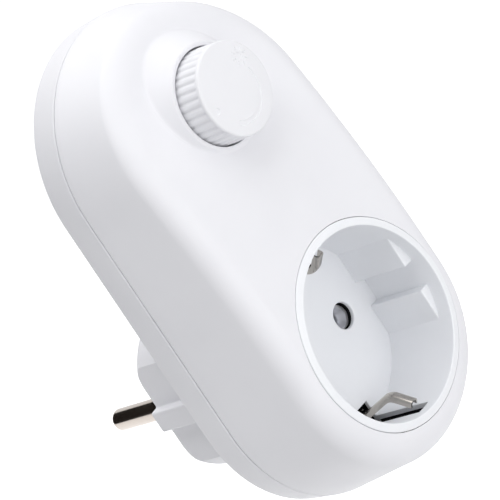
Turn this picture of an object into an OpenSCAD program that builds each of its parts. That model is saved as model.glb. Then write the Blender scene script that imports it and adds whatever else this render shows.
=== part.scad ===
// Plug-in rotary dimmer: a stadium-shaped casing with an earthed socket and a knob on its front
// and an earthed two-pin plug on its back. Millimetres. The socket faces -Y, the pins point along
// +Y, the knob end is up, and the origin is the centre of the plug's nose.

/* [Casing] */
// Width of the casing at its seam
body_w = 57.8; // [57:0.1:62]
// Distance between the centres of the two round ends
end_spacing = 51.3; // [49:0.1:58]
// Depth of the casing from the socket ring to its rear face
body_depth = 30; // [29:0.1:33]
// Depth of the rear cover
rear_depth = 7.5; // [6.5:0.1:8.5]
// How far inside the line of the socket's opening the rounded edge starts
edge_in = 0.8; // [0.5:0.05:1.2]
// Radius of the front cover's edge
front_round = 5.5; // [4.5:0.1:6.2]
// Radius of the front face's curve from end to end
dome_r = 300; // [270:1:400]
// Distance of the proudest line of the face below the socket's axis
dome_apex = 4.5; // [2:0.1:6]
// How far each side draws in from the seam to the rear face
rear_draw = 0.5; // [0.2:0.05:0.9]
// Bevel of the rear edge
rear_bevel = 0.8; // [0.4:0.1:1.2]
// Wall thickness of both covers
wall = 2; // [1.7:0.1:2.2]
// Open line between the two covers
seam_gap = 0.3; // [0.2:0.05:0.5]
// Least radius of the front cover's inner edge
inner_round = 0.8; // [0.5:0.1:1.2]
// Height of the plug and socket axis above the centre of the lower end
axis_rise = 1.7; // [1:0.1:2.5]

/* [Socket] */
// Radius of the socket's recess
socket_r = 19.7; // [19.5:0.05:19.9]
// Width of the ring around the recess
ring_w = 1.95; // [1.7:0.05:2.1]
// Play between the ring and the front cover
ring_play = 0.12; // [0.08:0.01:0.2]
// Thickness of the guide tube behind the front cover's socket opening
guide_t = 1.5; // [1.2:0.1:1.8]
// Length of that guide tube
guide_len = 10; // [8:0.5:13]
// Depth of the recess
recess_depth = 17.8; // [17.2:0.1:18.2]
// Distance of the guide ribs' faces from the axis
rib_face = 17.2; // [16.8:0.1:17.6]
// Distance of the ribs' front ends behind the ring
rib_drop = 4; // [3:0.1:6]
// Width of the groove between two ribs
groove_w = 5.8; // [5.2:0.1:6.4]
// Distance between the two pins
pin_spacing = 19; // [18.8:0.1:19.2]
// Radius of the entry holes
hole_r = 2.8; // [2.7:0.05:3]
// Thickness of the contact carrier's plate
carrier_t = 2.5; // [2.2:0.1:3]
// Thickness of the lip in front of a contact sleeve
lip_t = 1.5; // [1.2:0.1:1.7]
// Bore radius of a contact sleeve
sleeve_bore = 2.43; // [2.42:0.01:2.48]
// Sheet thickness of a contact sleeve
sleeve_t = 0.7; // [0.5:0.05:0.8]
// Length of a contact sleeve
sleeve_len = 18; // [16:0.5:19]
// Slit of a rolled contact sleeve
slit_w = 0.8; // [0.5:0.1:1]
// Wall of the bosses that hold the sleeves
boss_wall = 1.4; // [1:0.1:1.6]
// Reach of those bosses behind the carrier's plate
boss_len = 5; // [4:0.1:6]

/* [Earth contacts] */
// Width of the earth slots
slot_w = 3.7; // [3.5:0.1:4.5]
// Distance of the slots' front ends behind the ring
slot_drop = 2.6; // [2:0.1:3.5]
// Distance of the slots' inner ends in the floor from the axis
slot_inner = 16; // [15.6:0.1:16.4]
// Width of an earth clip
clip_w = 2.2; // [2:0.1:3]
// Thickness of an earth clip
clip_t = 0.6; // [0.5:0.05:0.7]
// Distance of the clip's foot from the axis
clip_foot = 17.5; // [17.3:0.1:17.7]
// Distance of the clip's bulge from the axis
clip_bulge = 15.3; // [15:0.1:15.8]
// Distance of the bulge behind the clip's tip
bulge_back = 4.4; // [4:0.1:4.8]
// Radius of the bulge's bend
bulge_r = 3.6; // [2.5:0.1:3.8]
// Height of the clip's straight root above the floor
clip_root = 1.2; // [0.8:0.1:2]
// Distance of the clip's tip behind the slot's front end
tip_gap = 2.4; // [1.8:0.1:3]
// Distance of the clip's tip from the axis
clip_tip = 18; // [17.8:0.1:18.3]
// Width of the strap that joins the two clips
bridge_w = 6; // [5:0.1:6.4]
// Thickness of that strap
bridge_t = 0.8; // [0.6:0.1:1]

/* [Plug] */
// Radius of the plug
plug_r = 18.7; // [18.4:0.1:19]
// Distance from the casing's rear face to the plug's nose
plug_depth = 24.3; // [23:0.1:26]
// Radius of the nose's edge
nose_round = 2.8; // [2:0.1:3.2]
// Distance of the plug's flats from the axis
flat_x = 14.4; // [14.2:0.1:14.8]
// Distance of the key ridges' faces from the axis
ridge_x = 16.7; // [16.2:0.1:17]
// Width of a key ridge
ridge_w = 4.8; // [4.2:0.1:5.2]
// Radius of the hollow inside the plug
plug_bore = 14.5; // [14.3:0.1:14.8]
// Wall behind the plug's flats
flat_wall = 1.4; // [1.2:0.1:1.5]
// Thickness of the plug's nose
nose_wall = 3; // [2.5:0.1:3.5]
// Radius of a pin
pin_r = 2.4; // [2.38:0.01:2.42]
// Length of a pin in front of the nose
pin_len = 19; // [18.6:0.1:19.4]
// Radius of a pin's tip edge
tip_round = 1.5; // [1:0.1:2]
// Thickness of a pin's flange
flange_t = 1.5; // [1:0.1:2]
// Length of a pin's stem behind its flange
stem_len = 5; // [4:0.1:6]
// Distance of the plug's earth strips from the axis
strip_out = 16.9; // [16.7:0.1:17.2]
// Width of a plug earth strip
strip_w = 5.6; // [5:0.1:6]
// Thickness of a plug earth strip
strip_t = 0.6; // [0.5:0.05:0.7]
// Distance of the strip's inner run from the wall of the plug's hollow
strip_clear = 1.3; // [1:0.1:1.6]
// Distance of the strip's front end behind the nose
strip_stop = 3; // [2.8:0.1:5]
// Distance of the strip's window from the casing's rear face
window_rise = 7; // [6:0.1:8]
// Length of the strip's window
window_len = 5; // [4.5:0.1:6]
// Distance of the strip's bends from the ends of the window
strip_bend = 1; // [0.8:0.1:1.2]
// How much wider a pin is inside the nose
root_step = 0.25; // [0.2:0.05:0.4]

/* [Knob and collar] */
// Height of the knob's axis above the centre of the upper end
knob_rise = 5.7; // [4.5:0.1:6.5]
// Radius of the knob at its foot
knob_r = 9.9; // [9.5:0.1:10.4]
// How much the knob narrows to its face
knob_taper = 0.4; // [0.2:0.05:0.6]
// Height of the knob's face above the collar's rim
knob_out = 5.9; // [5:0.1:7]
// Gap around the knob
knob_gap = 0.4; // [0.3:0.05:0.6]
// Number of flutes around the knob
flutes = 36; // [30:1:40]
// Depth of a flute
flute_depth = 0.35; // [0.2:0.05:0.5]
// Radius of a flute
flute_r = 0.56; // [0.5:0.02:0.7]
// Distance of the flutes' ends behind the knob's face
flute_stop = 0.5; // [0.5:0.1:1]
// Bevel around the knob's face
knob_bevel = 0.4; // [0.3:0.05:0.5]
// Wall of the knob's hub around the shaft
hub_wall = 1.6; // [1.3:0.1:2]
// Thickness of the knob's skirt
skirt_t = 1.5; // [1.2:0.1:1.8]
// Thickness of the knob's face
face_t = 1.8; // [1.5:0.1:2.2]
// Distance of the collar's rim behind the socket ring
rim_drop = 3.9; // [3.6:0.1:4.2]
// Width of the collar's flat rim
rim_w = 0.6; // [0.4:0.1:0.9]
// Lean of the collar's side from the knob's axis, in degrees
collar_lean = 36; // [30:1:38]
// Depth of the well that the knob sits in
well_depth = 5.6; // [5:0.1:6]
// Thickness of the well's floor
well_floor = 2; // [1.6:0.1:2.2]
// Running gap under the knob
knob_lift = 0.3; // [0.2:0.05:0.5]

/* [Potentiometer] */
// Radius of the shaft
shaft_r = 3; // [2.8:0.05:3.2]
// Running play around the shaft
shaft_play = 0.05; // [0.02:0.01:0.09]
// Depth of the flat on the shaft
shaft_flat = 0.8; // [0.5:0.1:1.2]
// Wall of the bushing around the shaft
bush_wall = 0.9; // [0.7:0.05:1.1]
// Height of the bushing above the well's floor
bush_out = 2.6; // [2.4:0.1:3]
// Thickness of the bushing nut
nut_t = 2; // [1.6:0.1:2.2]
// Corner radius of the bushing nut
nut_r = 5.8; // [5.4:0.1:6.2]
// Radius of the potentiometer's case
pot_r = 7.5; // [7:0.1:8]
// Depth of the potentiometer's case
pot_depth = 6.8; // [6:0.1:7.2]
// Sheet thickness of the case
case_t = 0.8; // [0.6:0.1:1]
// Thickness of the bushing's plate
plate_t = 1.2; // [1:0.1:1.4]
// Thickness of the track wafer
track_t = 1.2; // [1:0.1:1.4]
// Thickness of the wiper
wiper_t = 1.4; // [1:0.1:1.8]
// Distance between two terminals
terminal_pitch = 5; // [4.5:0.1:5.2]
// Width of a terminal
terminal_w = 1; // [0.8:0.1:1.2]
// Thickness of a terminal
terminal_t = 0.4; // [0.3:0.05:0.5]
// Distance of the terminals below the case
terminal_out = 1; // [0.8:0.1:1.4]

/* [Circuit board] */
// Thickness of the board
board_t = 1.6; // [1.4:0.1:2]
// Gap between the board's edge and the casing
board_gap = 1; // [0.8:0.1:1.5]
// Space between neighbouring parts on the board
part_gap = 1; // [0.8:0.1:1.3]
// Half-width of the clear strip up the middle of the board
mid_way = 4; // [3.5:0.1:4.2]
// Distance of the choke from the board's side
choke_inset = 4.3; // [3.8:0.1:4.6]
// Radius of a toroidal choke's core
choke_r = 7.2; // [6.5:0.1:7.6]
// Radius of the core's hole
choke_hole = 3.8; // [3.4:0.1:4.2]
// Height of the core
choke_h = 6; // [5:0.1:7]
// Thickness of the winding on the core
wind_t = 1.1; // [0.8:0.1:1.3]
// Open part of the winding, in degrees
wind_open = 60; // [40:5:80]
// Width of the suppression capacitor
cap_w = 17.5; // [15:0.1:18]
// Thickness of the suppression capacitor
cap_t = 8.5; // [7:0.1:9]
// Height of the suppression capacitor
cap_h = 11; // [9:0.1:11.5]
// Radius of the fuse
fuse_r = 2.6; // [2.4:0.1:2.8]
// Length of the fuse
fuse_len = 20; // [19:0.1:20.5]
// Height of the fuse above the board
fuse_lift = 1.5; // [1:0.1:2]
// Width of a fuse clip
fuse_clip_w = 5; // [4:0.1:6]
// Sheet thickness of a fuse clip
fuse_clip_t = 0.6; // [0.5:0.05:0.8]
// Width of the triac
triac_w = 10; // [9:0.1:10.4]
// Height of the triac's body
triac_h = 9; // [8.5:0.1:9.5]
// Thickness of the triac's body
triac_t = 4.4; // [4:0.1:4.8]
// Height of the triac's tab
tab_h = 6.5; // [6:0.1:6.8]
// Thickness of the triac's tab
tab_t = 1.3; // [1.1:0.05:1.5]
// Distance of the tab's hole from the body
tab_hole = 4; // [3.5:0.1:4.2]
// Distance between two triac legs
leg_pitch = 2.54; // [2.4:0.01:2.7]
// Width of a triac leg
leg_w = 0.8; // [0.6:0.05:1]
// Thickness of a triac leg
leg_t = 0.4; // [0.35:0.05:0.6]
// How far the legs stand out of the body before they bend
leg_out = 2.2; // [1.8:0.1:2.6]
// Thickness of the heat sink
sink_t = 1.5; // [1.2:0.1:1.8]
// Height of the heat sink's upstand
sink_h = 6; // [4:0.1:7]
// Width of the timing capacitor
time_w = 7.2; // [6:0.1:8]
// Thickness of the timing capacitor
time_t = 2.5; // [2:0.1:3]
// Height of the timing capacitor
time_h = 6.5; // [5:0.1:8]
// Radius of the trigger diode
diac_r = 1; // [0.8:0.05:1.2]
// Length of the trigger diode
diac_len = 4; // [3.5:0.1:5]
// Radius of a resistor
resistor_r = 1.25; // [1:0.05:1.5]
// Length of a resistor
resistor_len = 6.5; // [6:0.1:7]
// Radius of these parts' legs
axial_leg_r = 0.3; // [0.25:0.05:0.4]
// Distance of these parts' legs from the ends of the body
axial_reach = 1.8; // [1.5:0.1:2.2]
// Distance between two of these parts
axial_pitch = 4.5; // [4:0.1:5]

/* [Wiring] */
// Radius of a wire
lead_r = 0.9; // [0.7:0.05:1]
// Height above the axis at which the wires leave the plug
lead_turn = 9; // [8:0.1:9.2]
// Distance of the wires' ends from the board's lower edge
lead_rise = 2.5; // [2:0.1:3]
// Distance between the two wires
lead_step = 3; // [2.6:0.1:3.4]
// Width of the strap between a contact sleeve and its pin
strap_w = 4; // [3:0.1:5]
// Thickness of that strap
strap_t = 0.8; // [0.6:0.1:1]
// Lap of that strap on the sleeve
strap_lap = 3; // [2.5:0.1:4]

/* [Fasteners] */
// Shank radius of a cover screw
screw_r = 1.4; // [1.2:0.05:1.5]
// Head radius of a cover screw
screw_head_r = 2.7; // [2.4:0.1:3]
// Length of a cover screw
screw_len = 13; // [11:0.5:14]
// Height of a cover screw's head
screw_head_h = 1; // [0.8:0.05:1.1]
// Depth of a cover screw's pocket
pocket_depth = 1.2; // [1.1:0.05:1.3]
// Wall of a screw boss
screw_wall = 1.1; // [0.9:0.05:1.2]
// Gap between a cover screw's boss and the casing's wall
screw_inset = 1.3; // [1:0.1:1.6]
// Shank radius of a board screw
board_screw_r = 1; // [0.9:0.05:1.2]
// Head radius of a board screw
board_head_r = 1.9; // [1.7:0.05:2.1]
// Height of a board screw's head
board_head_h = 1; // [0.8:0.1:1.3]
// Distance of the upper board screws from the board's edge
board_screw_inset = 5.1; // [4.6:0.1:5.4]
// Direction of the upper board screws from the centre of the upper end, in degrees
board_screw_angle = 55; // [52:1:58]
// Distance of the lower board screw from the board's lower edge
low_screw_rise = 4; // [3.5:0.1:4.5]
// Distance of a board screw's tip from the rear wall
board_screw_stop = 1.5; // [1.2:0.1:2]
// Shank radius of the heat sink's screw
sink_screw_r = 1.5; // [1.3:0.05:1.6]
// Head radius of the heat sink's screw
sink_head_r = 2.6; // [2.3:0.1:2.8]
// Height of the heat sink screw's head
sink_head_h = 1.8; // [1.4:0.1:2]
// Reach of the heat sink's screw behind the board
sink_screw_out = 2; // [1.5:0.1:2.2]

/* [Hidden] */
$fn = 48;

// Small distances shared by many pieces
fit = 0.05;
play = 0.3;
over = 1;

// Main planes along Y and centres along Z
y_rear = -plug_depth;
y_front = y_rear - body_depth;
y_seam = y_rear - rear_depth;
seam_depth = body_depth - rear_depth;
y_inside = y_rear - wall;
z_low = -axis_rise;
z_high = z_low + end_spacing;
seam_r = body_w / 2;

// Socket
ring_r = socket_r + ring_w;
opening_r = ring_r + ring_play;
y_floor = y_front + recess_depth;
y_carrier = y_floor + carrier_t;
sleeve_r = sleeve_bore + sleeve_t;
y_sleeve = y_floor + lip_t + fit;
sleeve_x = pin_spacing / 2;
boss_r = sleeve_r + fit + boss_wall;

// Lean of the front cover's side: the line from the seam that just touches the rounded edge
face_r = opening_r - edge_in;
lean_arm = [seam_r - face_r, seam_depth - front_round];
side_lean = atan2(lean_arm[0], lean_arm[1]) - asin(front_round / norm(lean_arm));

// Earth parts
y_bridge = y_carrier + play;
tip_h = recess_depth - slot_drop - tip_gap;
bulge_h = tip_h - bulge_back;
clip_rise = touch_angle(clip_foot - clip_bulge, bulge_h - clip_root, bulge_r);
clip_fall = touch_angle(clip_tip - clip_bulge, bulge_back, bulge_r);
strip_in = plug_bore - strip_clear;
y_window = y_rear + window_rise;

// Knob and potentiometer, front to back
knob_z = z_high + knob_rise;
y_rim = y_front + rim_drop;
y_well = y_rim + well_depth;
well_r = knob_r + knob_gap;
rim_r = well_r + rim_w;
y_face = y_rim - knob_out;
y_knob = y_well - knob_lift;
y_plate = y_well + well_floor;
y_track = y_plate + plate_t;
y_case = y_track + track_t;
y_board = y_case + pot_depth + play;
bush_r = shaft_r + shaft_play + bush_wall;
hub_r = shaft_r + hub_wall;
y_hub = y_well - bush_out - play;
y_wiper = y_case + play;
terminal_z = knob_z - pot_r - terminal_out;

// Circuit board and what stands on it
board_r = seam_r - wall - board_gap;
board_low = opening_r + guide_t + 1;
y_back = y_board + board_t;
choke_x = choke_r + wind_t + choke_inset - board_r;
choke_z = board_low + choke_r + wind_t + part_gap;
y_choke = y_board - choke_h - wind_t - fit;
cap_x = mid_way + cap_w / 2;
cap_z = board_low + cap_t / 2 + part_gap;
fuse_y = y_board - fuse_r - fuse_lift;
fuse_z = cap_z + cap_t / 2 + fuse_r + fuse_clip_t + 2 * part_gap;
triac_x = -pot_r - sink_t - 2 * play - triac_w / 2;
triac_z = choke_z + choke_r + wind_t + part_gap + leg_out;
tab_z = triac_z + triac_h;
hole_z = tab_z + tab_hole;
sink_hole_r = sink_screw_r + 2 * fit;
y_sink = y_board - sink_t;
axial_len = [diac_len, resistor_len, resistor_len];
small_x = pot_r + part_gap + resistor_len / 2 + axial_reach + axial_leg_r;
small_z = fuse_z + fuse_r + fuse_clip_t + axial_pitch;
time_z = small_z + 2 * axial_pitch + resistor_r + part_gap;
board_screw_out = board_r - board_screw_inset;
board_screws_at = concat([[0, board_low + low_screw_rise]], [for (s = [-1, 1])
    [s * board_screw_out * cos(board_screw_angle), z_high + board_screw_out * sin(board_screw_angle)]]);

// Screws through the rear cover: one at the upper end, two beside the board's lower edge
boss_out = screw_r + fit + screw_wall;
screw_out = seam_r - wall - boss_out - screw_inset;
side_screw_z = board_low - boss_out - board_gap;
cover_screws_at = [[0, z_high + screw_out], [screw_out, side_screw_z], [-screw_out, side_screw_z]];

// Pins, straps and wires
root_r = pin_r + root_step;
pin_hole_r = root_r + fit / 2;
flange_r = flat_x - flat_wall - sleeve_x - fit;
y_stem = -nose_wall - flange_t - stem_len / 2;
y_tail = y_sleeve + sleeve_len - strap_lap;
y_lead = y_inside - 2 * lead_r;
lead_z = board_low + lead_rise;

// Rod along Y from y0 to y1
module rod(x, z, y0, y1, r)
    translate([x, y0, z]) rotate([-90, 0, 0]) cylinder(h = y1 - y0, r = r);
// Tapered rod along Y
module cone(x, z, y0, y1, r0, r1)
    translate([x, y0, z]) rotate([-90, 0, 0]) cylinder(h = y1 - y0, r1 = r0, r2 = r1);
// Tube along Y
module tube(x, z, y0, y1, r_out, r_in) difference() {
    rod(x, z, y0, y1, r_out);
    rod(x, z, y0 - over, y1 + over, r_in);
}
// Block between two corners
module block(a, b) translate(a) cube(b - a);
// Piece turned about the Y axis through x, z, drawn as radius and distance along Y
module turned(x, z) translate([x, 0, z]) rotate([-90, 0, 0]) rotate_extrude() children();
// Stadium that narrows along Y from radius r0 to radius r1
module stadium(y0, y1, r0, r1) {
    for (z = [z_low, z_high]) cone(0, z, y0, y1, r0, r1);
    translate([0, 0, z_low]) linear_extrude(end_spacing)
        polygon([[-r0, y0], [r0, y0], [r1, y1], [-r1, y1]]);
}
// Outline of a bent strip of thickness t along points [y, z]
function strip_side(p, t) = [for (i = [0 : len(p) - 1])
    let (a = p[max(i - 1, 0)], b = p[min(i + 1, len(p) - 1)], d = (b - a) / norm(b - a))
    p[i] + [-d[1], d[0]] * t / 2];
module strip(p, t, w) {
    back = strip_side(p, -t);
    rotate([90, 0, 90]) translate([0, 0, -w / 2]) linear_extrude(w)
        polygon(concat(strip_side(p, t), [for (i = [len(back) - 1 : -1 : 0]) back[i]]));
}
// Round wire through a row of points, with each corner eased over the length b
wire_sides = 8;
wire_up = [0.3, 0.5, 0.8];
function unit(v) = v / norm(v);
function eased(p0, p1, p2, b) = let (a = p1 + b * unit(p0 - p1), c = p1 + b * unit(p2 - p1))
    [for (t = [0 : 0.25 : 1]) (1 - t) * (1 - t) * a + 2 * t * (1 - t) * p1 + t * t * c];
function route(p, b) = concat([p[0]],
    [for (i = [1 : len(p) - 2]) each eased(p[i - 1], p[i], p[i + 1], b)], [p[len(p) - 1]]);
module wire(corners, r, b) {
    path = route(corners, b);
    n = len(path);
    points = [for (i = [0 : n - 1])
        let (d = unit(path[min(i + 1, n - 1)] - path[max(i - 1, 0)]),
            e = unit(cross(d, wire_up)), f = cross(d, e))
        for (j = [0 : wire_sides - 1])
            path[i] + r * (cos(360 * j / wire_sides) * e + sin(360 * j / wire_sides) * f)];
    skin = [for (i = [0 : n - 2], j = [0 : wire_sides - 1])
        let (k = (j + 1) % wire_sides, a = i * wire_sides, b = a + wire_sides)
        each [[a + j, b + j, a + k], [a + k, b + j, b + k]]];
    ends = [[for (j = [0 : wire_sides - 1]) j],
        [for (j = [wire_sides - 1 : -1 : 0]) (n - 1) * wire_sides + j]];
    polyhedron(points = points, faces = concat(skin, ends));
}
// Axial part on the board: a round body along X with two bent legs
module axial(x, z, r, length) {
    y = y_board - r - play;
    translate([x - length / 2, y, z]) rotate([0, 90, 0]) cylinder(h = length, r = r);
    for (s = [-1, 1]) {
        end_x = x + s * (length / 2 + axial_reach);
        wire([[x + s * (length / 2 - play), y, z], [end_x, y, z], [end_x, y_back + over, z]],
            axial_leg_r, 2 * axial_leg_r);
    }
}

// Front skin: rings around the stadium, from the middle of the face to the seam and back inside
arc_steps = 20;
side_steps = 8;
edge_steps = 8;
outline = concat(
    [for (i = [0 : arc_steps]) [cos(180 * i / arc_steps), sin(180 * i / arc_steps), 1]],
    [for (i = [1 : side_steps - 1]) [-1, 0, 1 - i / side_steps]],
    [for (i = [0 : arc_steps]) [-cos(180 * i / arc_steps), -sin(180 * i / arc_steps), 0]],
    [for (i = [1 : side_steps - 1]) [1, 0, i / side_steps]]);
sides = len(outline);
function drop(z) = dome_r - sqrt(dome_r * dome_r - pow(z + dome_apex, 2));
// Place along Y of a skin point d behind the face's plane; the face's curve fades to the seam
function skin_y(z, d) = y_front + d + drop(z) * max(0, 1 - d / seam_depth);
function skin_point(u, r, d) = let (z = z_low + end_spacing * u[2] + r * u[1])
    [r * u[0], skin_y(z, d), z];
// Distance of a point [x, z] from the line between the two end centres
function spine_gap(p) = norm([p[0], p[1] - max(z_low, min(z_high, p[1]))]);
// Depth at which a screw boss comes clear of the outer skin
function boss_depth(p) = max(wall / 2,
    seam_depth - (seam_r - wall / 4 - boss_out - spine_gap(p)) / tan(side_lean));
function ring(r, d) = [for (u = outline) skin_point(u, r, d)];
function spine(d) = [for (i = [0 : side_steps]) skin_point([0, 0, 1 - i / side_steps], 0, d)];
// Profile [radius, depth] of a skin whose seam radius, edge radius and face depth are given
function skin_profile(r_seam, edge, d0) = let (
    r0 = r_seam - (seam_depth - d0) * tan(side_lean),
    c = r0 - edge * (1 - sin(side_lean)) / cos(side_lean))
    concat([[c / 3, d0], [c * 2 / 3, d0]],
        [for (i = [0 : edge_steps]) let (a = 90 - (90 - side_lean) * i / edge_steps)
            [c + edge * cos(a), d0 + edge * (1 - sin(a))]],
        [[r_seam, seam_depth - seam_gap / 2]]);
function spine_at(j) = j <= arc_steps ? 0 : j < arc_steps + side_steps ? j - arc_steps
    : j <= 2 * arc_steps + side_steps ? side_steps : 2 * (arc_steps + side_steps) - j;
module front_skin() {
    outer = skin_profile(seam_r, front_round, 0);
    inner = skin_profile(seam_r - wall, max(front_round - wall, inner_round), wall);
    rings = concat(outer, [for (i = [len(inner) - 1 : -1 : 0]) inner[i]]);
    n = len(rings);
    base = side_steps + 1;
    last = base + n * sides;
    points = concat(spine(0), [for (p = rings) each ring(p[0], p[1])], spine(wall));
    caps = [for (j = [0 : sides - 1]) let (k = (j + 1) % sides, s = spine_at(j), e = spine_at(k))
        each concat([[base + k, base + j, s], [last - sides + j, last - sides + k, last + s]],
            s == e ? [] : [[base + k, s, e], [last - sides + k, last + e, last + s]])];
    walls = [for (i = [0 : n - 2], j = [0 : sides - 1])
        let (k = (j + 1) % sides, a = base + i * sides, b = a + sides)
        each [[a + j, a + k, b + j], [a + k, b + k, b + j]]];
    polyhedron(points = points, faces = concat(caps, walls));
}

module front_cover() color("white") difference() {
    union() {
        front_skin();
        cone(0, knob_z, y_rim, y_plate, rim_r, rim_r + (y_plate - y_rim) * tan(collar_lean));
        tube(0, 0, y_front + drop(opening_r + guide_t) + wall / 4, y_front + guide_len,
            opening_r + guide_t, opening_r - over / 2);
        for (p = cover_screws_at)
            rod(p[0], p[1], skin_y(p[1], boss_depth(p)), y_inside - play, boss_out);
    }
    rod(0, 0, y_front - over, y_front + guide_len + over, opening_r);
    rod(0, knob_z, y_face, y_well, well_r);
    rod(0, knob_z, y_well - over, y_plate + over, bush_r + fit);
    for (p = cover_screws_at) rod(p[0], p[1], y_rear - screw_len - over, y_rear, screw_r + fit);
}

module rear_cover() color("white") difference() {
    union() {
        difference() {
            union() {
                stadium(y_seam + seam_gap / 2, y_rear - rear_bevel, seam_r, seam_r - rear_draw);
                stadium(y_rear - rear_bevel, y_rear, seam_r - rear_draw,
                    seam_r - rear_draw - rear_bevel);
            }
            stadium(y_seam - over, y_inside, seam_r - wall, seam_r - wall - rear_draw);
        }
        plug_body();
        for (p = board_screws_at) rod(p[0], p[1], y_back, y_inside + fit, board_screw_r + fit + screw_wall);
    }
    intersection() {
        rod(0, 0, y_inside - over, -nose_wall, plug_bore);
        block([flat_wall - flat_x, y_inside - over, -plug_bore], [flat_x - flat_wall, 0, plug_bore]);
    }
    for (s = [-1, 1]) {
        rod(s * sleeve_x, 0, -nose_wall - over, over, pin_hole_r);
        mirror([0, 0, s < 0 ? 1 : 0]) earth_channel();
    }
    for (p = board_screws_at) rod(p[0], p[1], y_back - over, y_inside - play, board_screw_r + fit);
    for (p = cover_screws_at) {
        rod(p[0], p[1], y_inside - over, y_rear + over, screw_r + play);
        rod(p[0], p[1], y_rear - pocket_depth, y_rear + over, screw_head_r + play);
    }
}

// Plug body: a round nose cut by two flats, with a key ridge standing on each flat
module plug_body() intersection() {
    turned(0, 0) polygon(concat([[0, y_inside], [plug_r, y_inside]],
        [for (i = [0 : edge_steps]) let (a = 90 * i / edge_steps)
            [plug_r - nose_round * (1 - cos(a)), -nose_round * (1 - sin(a))]],
        [[0, 0]]));
    union() {
        block([-flat_x, y_inside, -plug_r], [flat_x, 0, plug_r]);
        block([-ridge_x, y_inside, -ridge_w / 2], [ridge_x, 0, ridge_w / 2]);
    }
}

// Channel for one earth strip on the plug's side, and the window that leads into the plug
module earth_channel() {
    half = strip_w / 2 + play;
    block([-half, y_window, strip_out - strip_t], [half, over, plug_r + over]);
    block([-half, y_window, strip_in - play], [half, y_window + window_len, plug_r]);
}

module socket_insert() color("whitesmoke") difference() {
    intersection() {
        difference() {
            rod(0, 0, y_front - over, y_floor, ring_r);
            difference() {
                rod(0, 0, y_front - 2 * over, y_floor + over, socket_r);
                for (s = [-1, 1]) mirror([s < 0 ? 1 : 0, 0, 0]) difference() {
                    block([rib_face, y_front + rib_drop, -socket_r], [ring_r, y_floor, socket_r]);
                    block([0, y_front, -groove_w / 2], [ring_r, y_floor + over, groove_w / 2]);
                }
            }
        }
        translate([-body_w / 2, y_front + dome_r, -dome_apex]) rotate([0, 90, 0])
            cylinder(h = body_w, r = dome_r, $fn = 360);
    }
    for (s = [-1, 1]) mirror([0, 0, s < 0 ? 1 : 0])
        block([-slot_w / 2, y_front + slot_drop, slot_inner],
            [slot_w / 2, y_floor + over, ring_r + over]);
}

module contact_carrier() color("gainsboro") difference() {
    union() {
        rod(0, 0, y_floor, y_carrier, ring_r);
        for (s = [-1, 1]) rod(s * sleeve_x, 0, y_floor + lip_t, y_carrier + boss_len, boss_r);
    }
    for (s = [-1, 1]) {
        rod(s * sleeve_x, 0, y_floor - over, y_carrier, hole_r);
        rod(s * sleeve_x, 0, y_floor + lip_t, y_carrier + boss_len + over, sleeve_r + fit);
        mirror([0, 0, s < 0 ? 1 : 0])
            block([-slot_w / 2, y_floor - over, slot_inner],
                [slot_w / 2, y_carrier + over, ring_r + over]);
    }
}

// Rolled contact sleeve with its slit on the outer side
module socket_contact(s) color("goldenrod") difference() {
    tube(s * sleeve_x, 0, y_sleeve, y_sleeve + sleeve_len, sleeve_r, sleeve_bore);
    translate([s * (sleeve_x + sleeve_r), y_sleeve + sleeve_len / 2, 0])
        cube([2 * sleeve_t + over, sleeve_len + over, slit_w], center = true);
}
module socket_contact_left() socket_contact(-1);
module socket_contact_right() socket_contact(1);

// Angle at which a line from a point beside a bend of radius r touches it
function touch_angle(rise, run, r) = asin(r / norm([run, r - rise])) - atan2(r - rise, run);
// Spring strip that bulges into the recess and turns back into its slot
module earth_clip() color("silver") strip(concat(
    [[y_floor + carrier_t / 2 - play, clip_foot], [y_floor - clip_root, clip_foot]],
    [for (i = [0 : edge_steps]) let (a = (clip_rise + clip_fall) * i / edge_steps - clip_rise)
        [y_floor - bulge_h - bulge_r * sin(a), clip_bulge + bulge_r * (1 - cos(a))]],
    [[y_floor - tip_h, clip_tip]]), clip_t, clip_w);
module earth_clip_upper() earth_clip();
module earth_clip_lower() mirror([0, 0, 1]) earth_clip();

module earth_bridge() color("silver") {
    end = clip_foot + clip_t / 2;
    block([-bridge_w / 2, y_bridge, -end], [bridge_w / 2, y_bridge + bridge_t, end]);
    for (s = [-1, 1]) mirror([0, 0, s < 0 ? 1 : 0])
        block([-clip_w / 2, y_floor + carrier_t / 2, clip_foot - clip_t / 2],
            [clip_w / 2, y_bridge + bridge_t, end]);
}

// Earth strip from the bridge, inside the plug, out through the window and along the plug's side
module plug_earth() color("silver") {
    inner = strip_in - strip_t / 2 - play;
    outer = strip_out - strip_t / 2 + fit;
    strip([[y_bridge + bridge_t, inner], [y_window + strip_bend, inner],
        [y_window + window_len - strip_bend, outer], [-strip_stop, outer]], strip_t, strip_w);
}
module plug_earth_upper() plug_earth();
module plug_earth_lower() mirror([0, 0, 1]) plug_earth();

// Round pin with a rounded tip, a flange behind the plug's nose and a stem inside
module plug_pin(s) color("silver") turned(s * sleeve_x, 0) polygon(concat(
    [[0, -nose_wall - flange_t - stem_len], [sleeve_r, -nose_wall - flange_t - stem_len],
        [sleeve_r, -nose_wall - flange_t], [flange_r, -nose_wall - flange_t],
        [flange_r, -nose_wall], [root_r, -nose_wall], [root_r, 0], [pin_r, 0]],
    [for (i = [0 : edge_steps]) let (a = 90 * i / edge_steps)
        [pin_r - tip_round * (1 - cos(a)), pin_len - tip_round * (1 - sin(a))]],
    [[0, pin_len]]));
module plug_pin_left() plug_pin(-1);
module plug_pin_right() plug_pin(1);

// Strap that joins the right-hand sleeve to the right-hand pin
module neutral_bar() color("goldenrod") block([sleeve_x - strap_w / 2, y_tail, sleeve_r + fit],
    [sleeve_x + strap_w / 2, y_stem + stem_len / 2, sleeve_r + fit + strap_t]);
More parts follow.
